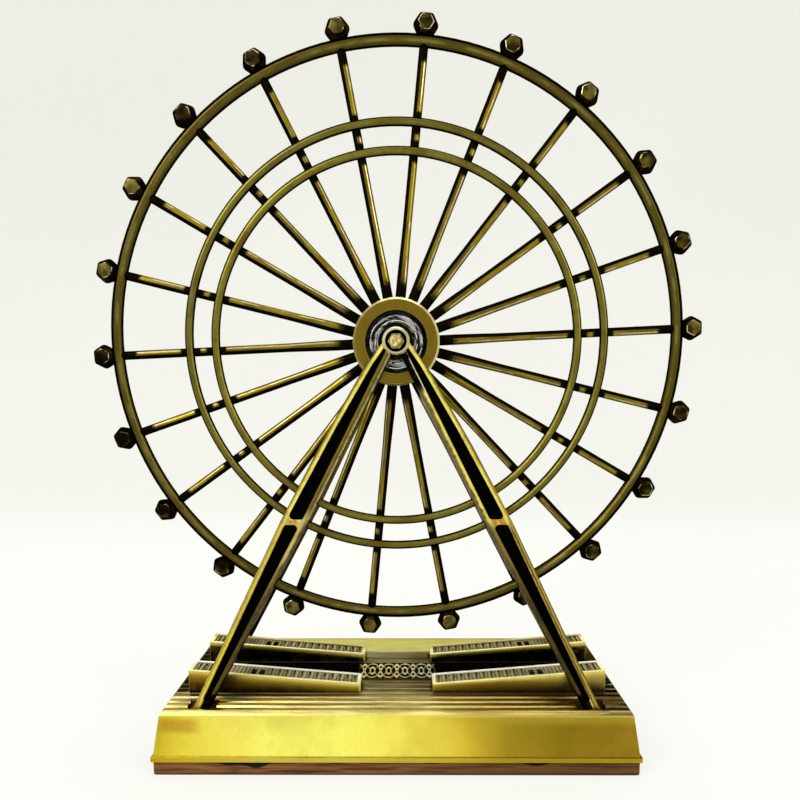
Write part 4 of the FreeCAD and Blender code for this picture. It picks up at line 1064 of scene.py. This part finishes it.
# %% Piece: chipped board
def chip_depth(x, y):
    """How far the top edge sinks: bell curves exp(-((x - place) / width)^2), and a small wave."""
    wander = 0.06 + 0.05 * np.sin(x * 0.9 + y * 0.7) * np.sin(x * 0.23 - y * 0.31)
    dips = ((-46.0, 4.6, 2.3, -1), (-55.0, 4.2, 1.3, -1), (46.0, 4.6, 1.5, -1),
            (12.0, 6.0, 0.7, -1), (-20.0, 5.0, 0.6, -1), (30.0, 6.0, 0.8, 1), (-48.0, 4.0, 0.5, 1))
    for at, spread, deep, side in dips:
        wander = wander + deep * np.exp(-((x - at) / spread) ** 2) * (np.sign(y) == side)
    return wander


def chipped_board():
    """A merged copy of the board, cut crosswise and once along each side, its top edge lowered."""
    mesh, slip = merged_copy("bottom_board")
    cuts = [((1, 0, 0), at) for at in np.arange(-79.0, 79.1, 1.0)]
    cuts += [((0, 1, 0), at) for at in (-36.9, -24.0, -12.0, 0.0, 12.0, 24.0, 36.9)]
    for facing, at in cuts:
        bmesh.ops.bisect_plane(slip, geom=slip.verts[:] + slip.edges[:] + slip.faces[:], dist=1e-7,
                               plane_co=[at * MM * n for n in facing], plane_no=facing)
    slip.to_mesh(mesh)
    slip.free()
    spots = np.empty(len(mesh.vertices) * 3)
    mesh.vertices.foreach_get("co", spots)
    spots = spots.reshape(-1, 3)
    x, y, z = spots.T / MM
    on_edge = (z > 4.79) & ((np.abs(x) > 80.0) | (np.abs(y) > 37.9))
    spots[:, 2] -= on_edge * chip_depth(x, y) * MM
    mesh.vertices.foreach_set("co", spots.ravel())
    mesh.update()
    piece = set_down("chipped_board", mesh, FINISHES["board"], "stand", smooth=False)
    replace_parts(piece, "bottom_board")
    print("points lowered on its edge:", int(on_edge.sum()))


chipped_board()

# %% [markdown]
# The remaining CAD pieces already have the right shape and only take their finish: the one that
# their name tells, apart from a few that are listed.

# %% Finishes for the CAD pieces
SPECIAL = {"foot_nuts": "screws", "ball_cage": "axle", "axle_spacers": "race",
           "lattice_strip": "base"}
for node_name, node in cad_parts.items():
    kind = SPECIAL.get(node_name) or next(kind for kind in FINISHES if kind in node_name)
    give(node, FINISHES[kind])
print(len(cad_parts), "CAD pieces have a finish")

# %% [markdown]
# The toy stands on a white sheet that curves up behind it: a profile of a floor, a quarter turn
# and a wall, carried along x. It is seen only from the toy's side, so it doesn't hide the toy from
# a camera behind it.

# %% Stage
SHEET_REACH, SHEET_BACK, SHEET_BEND = 2500.0, 200.0, 60.0


def seen_rays():
    """1 for a ray that the camera sees, straight or by a mirror or glass, and 0 for others."""
    rays = place("LightPath", {})
    return most(*(read(rays, f"Is {kind} Ray") for kind in ("Camera", "Glossy", "Transmission")))


def studio_sheet():
    """A profile in y and z (floor, quarter circle of 60 mm, wall) repeated at two x places."""
    bend = np.linspace(0.0, math.pi / 2, 24)[1:]
    floor_y = np.linspace(-SHEET_REACH, SHEET_BACK, 6)
    y = np.concatenate([floor_y, SHEET_BACK + SHEET_BEND * np.sin(bend),
                        np.full(5, SHEET_BACK + SHEET_BEND)])
    z = np.concatenate([0 * floor_y, SHEET_BEND * (1 - np.cos(bend)),
                        np.linspace(200.0, SHEET_REACH, 5)])
    gx, gy = np.meshgrid([-SHEET_REACH, SHEET_REACH], y, indexing="ij")
    return np.stack([gx, gy, np.broadcast_to(z, gy.shape)], -1)


def sheet_finish():
    """White cloth below, a slightly grey wall above, and a soft change between them."""
    material, shader = principled("studio_cloth")
    rule = use_group(RULER)
    cloud = noise(3, 2)
    wall = blend(between(cloud, 0.35, 0.65), (230, 230, 222), (235, 235, 228))
    low_wall = fading(rule.Z, 60, 320)
    wall = blend(most(low_wall, between(rule.X, 0, 420, 0, 0.3)), wall, (240, 240, 234))
    colour = blend(between(rule.Z, 4, 55), (247, 247, 242), wall)
    plug_in(shader, {"Base Color": colour, "Roughness": 0.9, "Specular IOR Level": 0.1})
    glow = place("Emission", {"Color": colour, "Strength": 1.0})
    lit = place("MixShader", {0: seen_rays() * 0.8, 1: read(shader), 2: read(glow)})
    behind = read(place("NewGeometry", {}), "Backfacing")
    clear = place("MixShader", {0: behind, 1: read(lit), 2: read(place("BsdfTransparent", {}))})
    plug(material.node_tree.nodes["Material Output"].inputs[0], read(clear))
    return material


sheet_points = studio_sheet()
stage = make_piece("studio_sheet", sheet_points, sheet_faces(*sheet_points.shape[:2])[:, ::-1],
                   sheet_finish(), None, None)

# %% [markdown]
# Light comes from everywhere, as under a white tent, with soft lamps at the upper left, at the
# right and above. Polished metal shows the same pale world that the camera sees.

# %% World and lamps
world = bpy.data.worlds.new("white_tent")
bpy.context.scene.world = world
world.use_nodes = True
open_network(world.node_tree).nodes.clear()
fill = place("Background", {"Color": (236, 238, 236), "Strength": 0.72})
backdrop = place("Background", {"Color": (240, 240, 233), "Strength": 1.0})
both = place("MixShader", {0: seen_rays(), 1: read(fill), 2: read(backdrop)})
place("OutputWorld", {0: read(both)})


def soft_lamp(name, where, size, watts):
    """A square area lamp at a place in millimetres, turned to face the middle of the toy."""
    lamp = set_up(bpy.data.lights.new(name, "AREA"), shape="SQUARE", size=size * MM, energy=watts)
    holder = bpy.data.objects.new(name, lamp)
    bpy.context.scene.collection.objects.link(holder)
    holder.location = np.array(where) * MM
    aim = (np.array((0.0, 0.0, 100.0)) - where) * MM
    holder.rotation_euler = Vector(aim).to_track_quat("-Z", "Y").to_euler()


soft_lamp("key_lamp", (-520.0, -560.0, 640.0), 520.0, 4.4)
soft_lamp("side_lamp", (620.0, -380.0, 420.0), 420.0, 1.8)
soft_lamp("top_lamp", (60.0, 120.0, 900.0), 620.0, 3.4)
print("three lamps and a world of", fill.inputs["Strength"].default_value)

# %% [markdown]
# The camera looks a little down at the toy from in front. A small upward shift keeps the whole
# wheel in the frame without tilting it.

# %% Camera
lens = set_up(bpy.data.cameras.new("camera"), sensor_width=36.0, sensor_fit="HORIZONTAL",
              lens=33.071, shift_x=-0.00125, shift_y=0.1208, clip_start=0.01, clip_end=20.0)
camera = bpy.data.objects.new("camera", lens)
bpy.context.scene.collection.objects.link(camera)
camera.location = (3.29 * MM, -262.79 * MM, (107.66 + DECK_TOP) * MM)
camera.rotation_euler = (1.414396, 0.001976, 0.006388)
bpy.context.scene.camera = camera
bpy.context.scene.view_settings.view_transform = "Standard"
print("camera at", tuple(round(v, 4) for v in camera.location))

# %% [markdown]
# Last, the scene is brought up to date.

# %% Bring the scene up to date
bpy.context.view_layer.update()
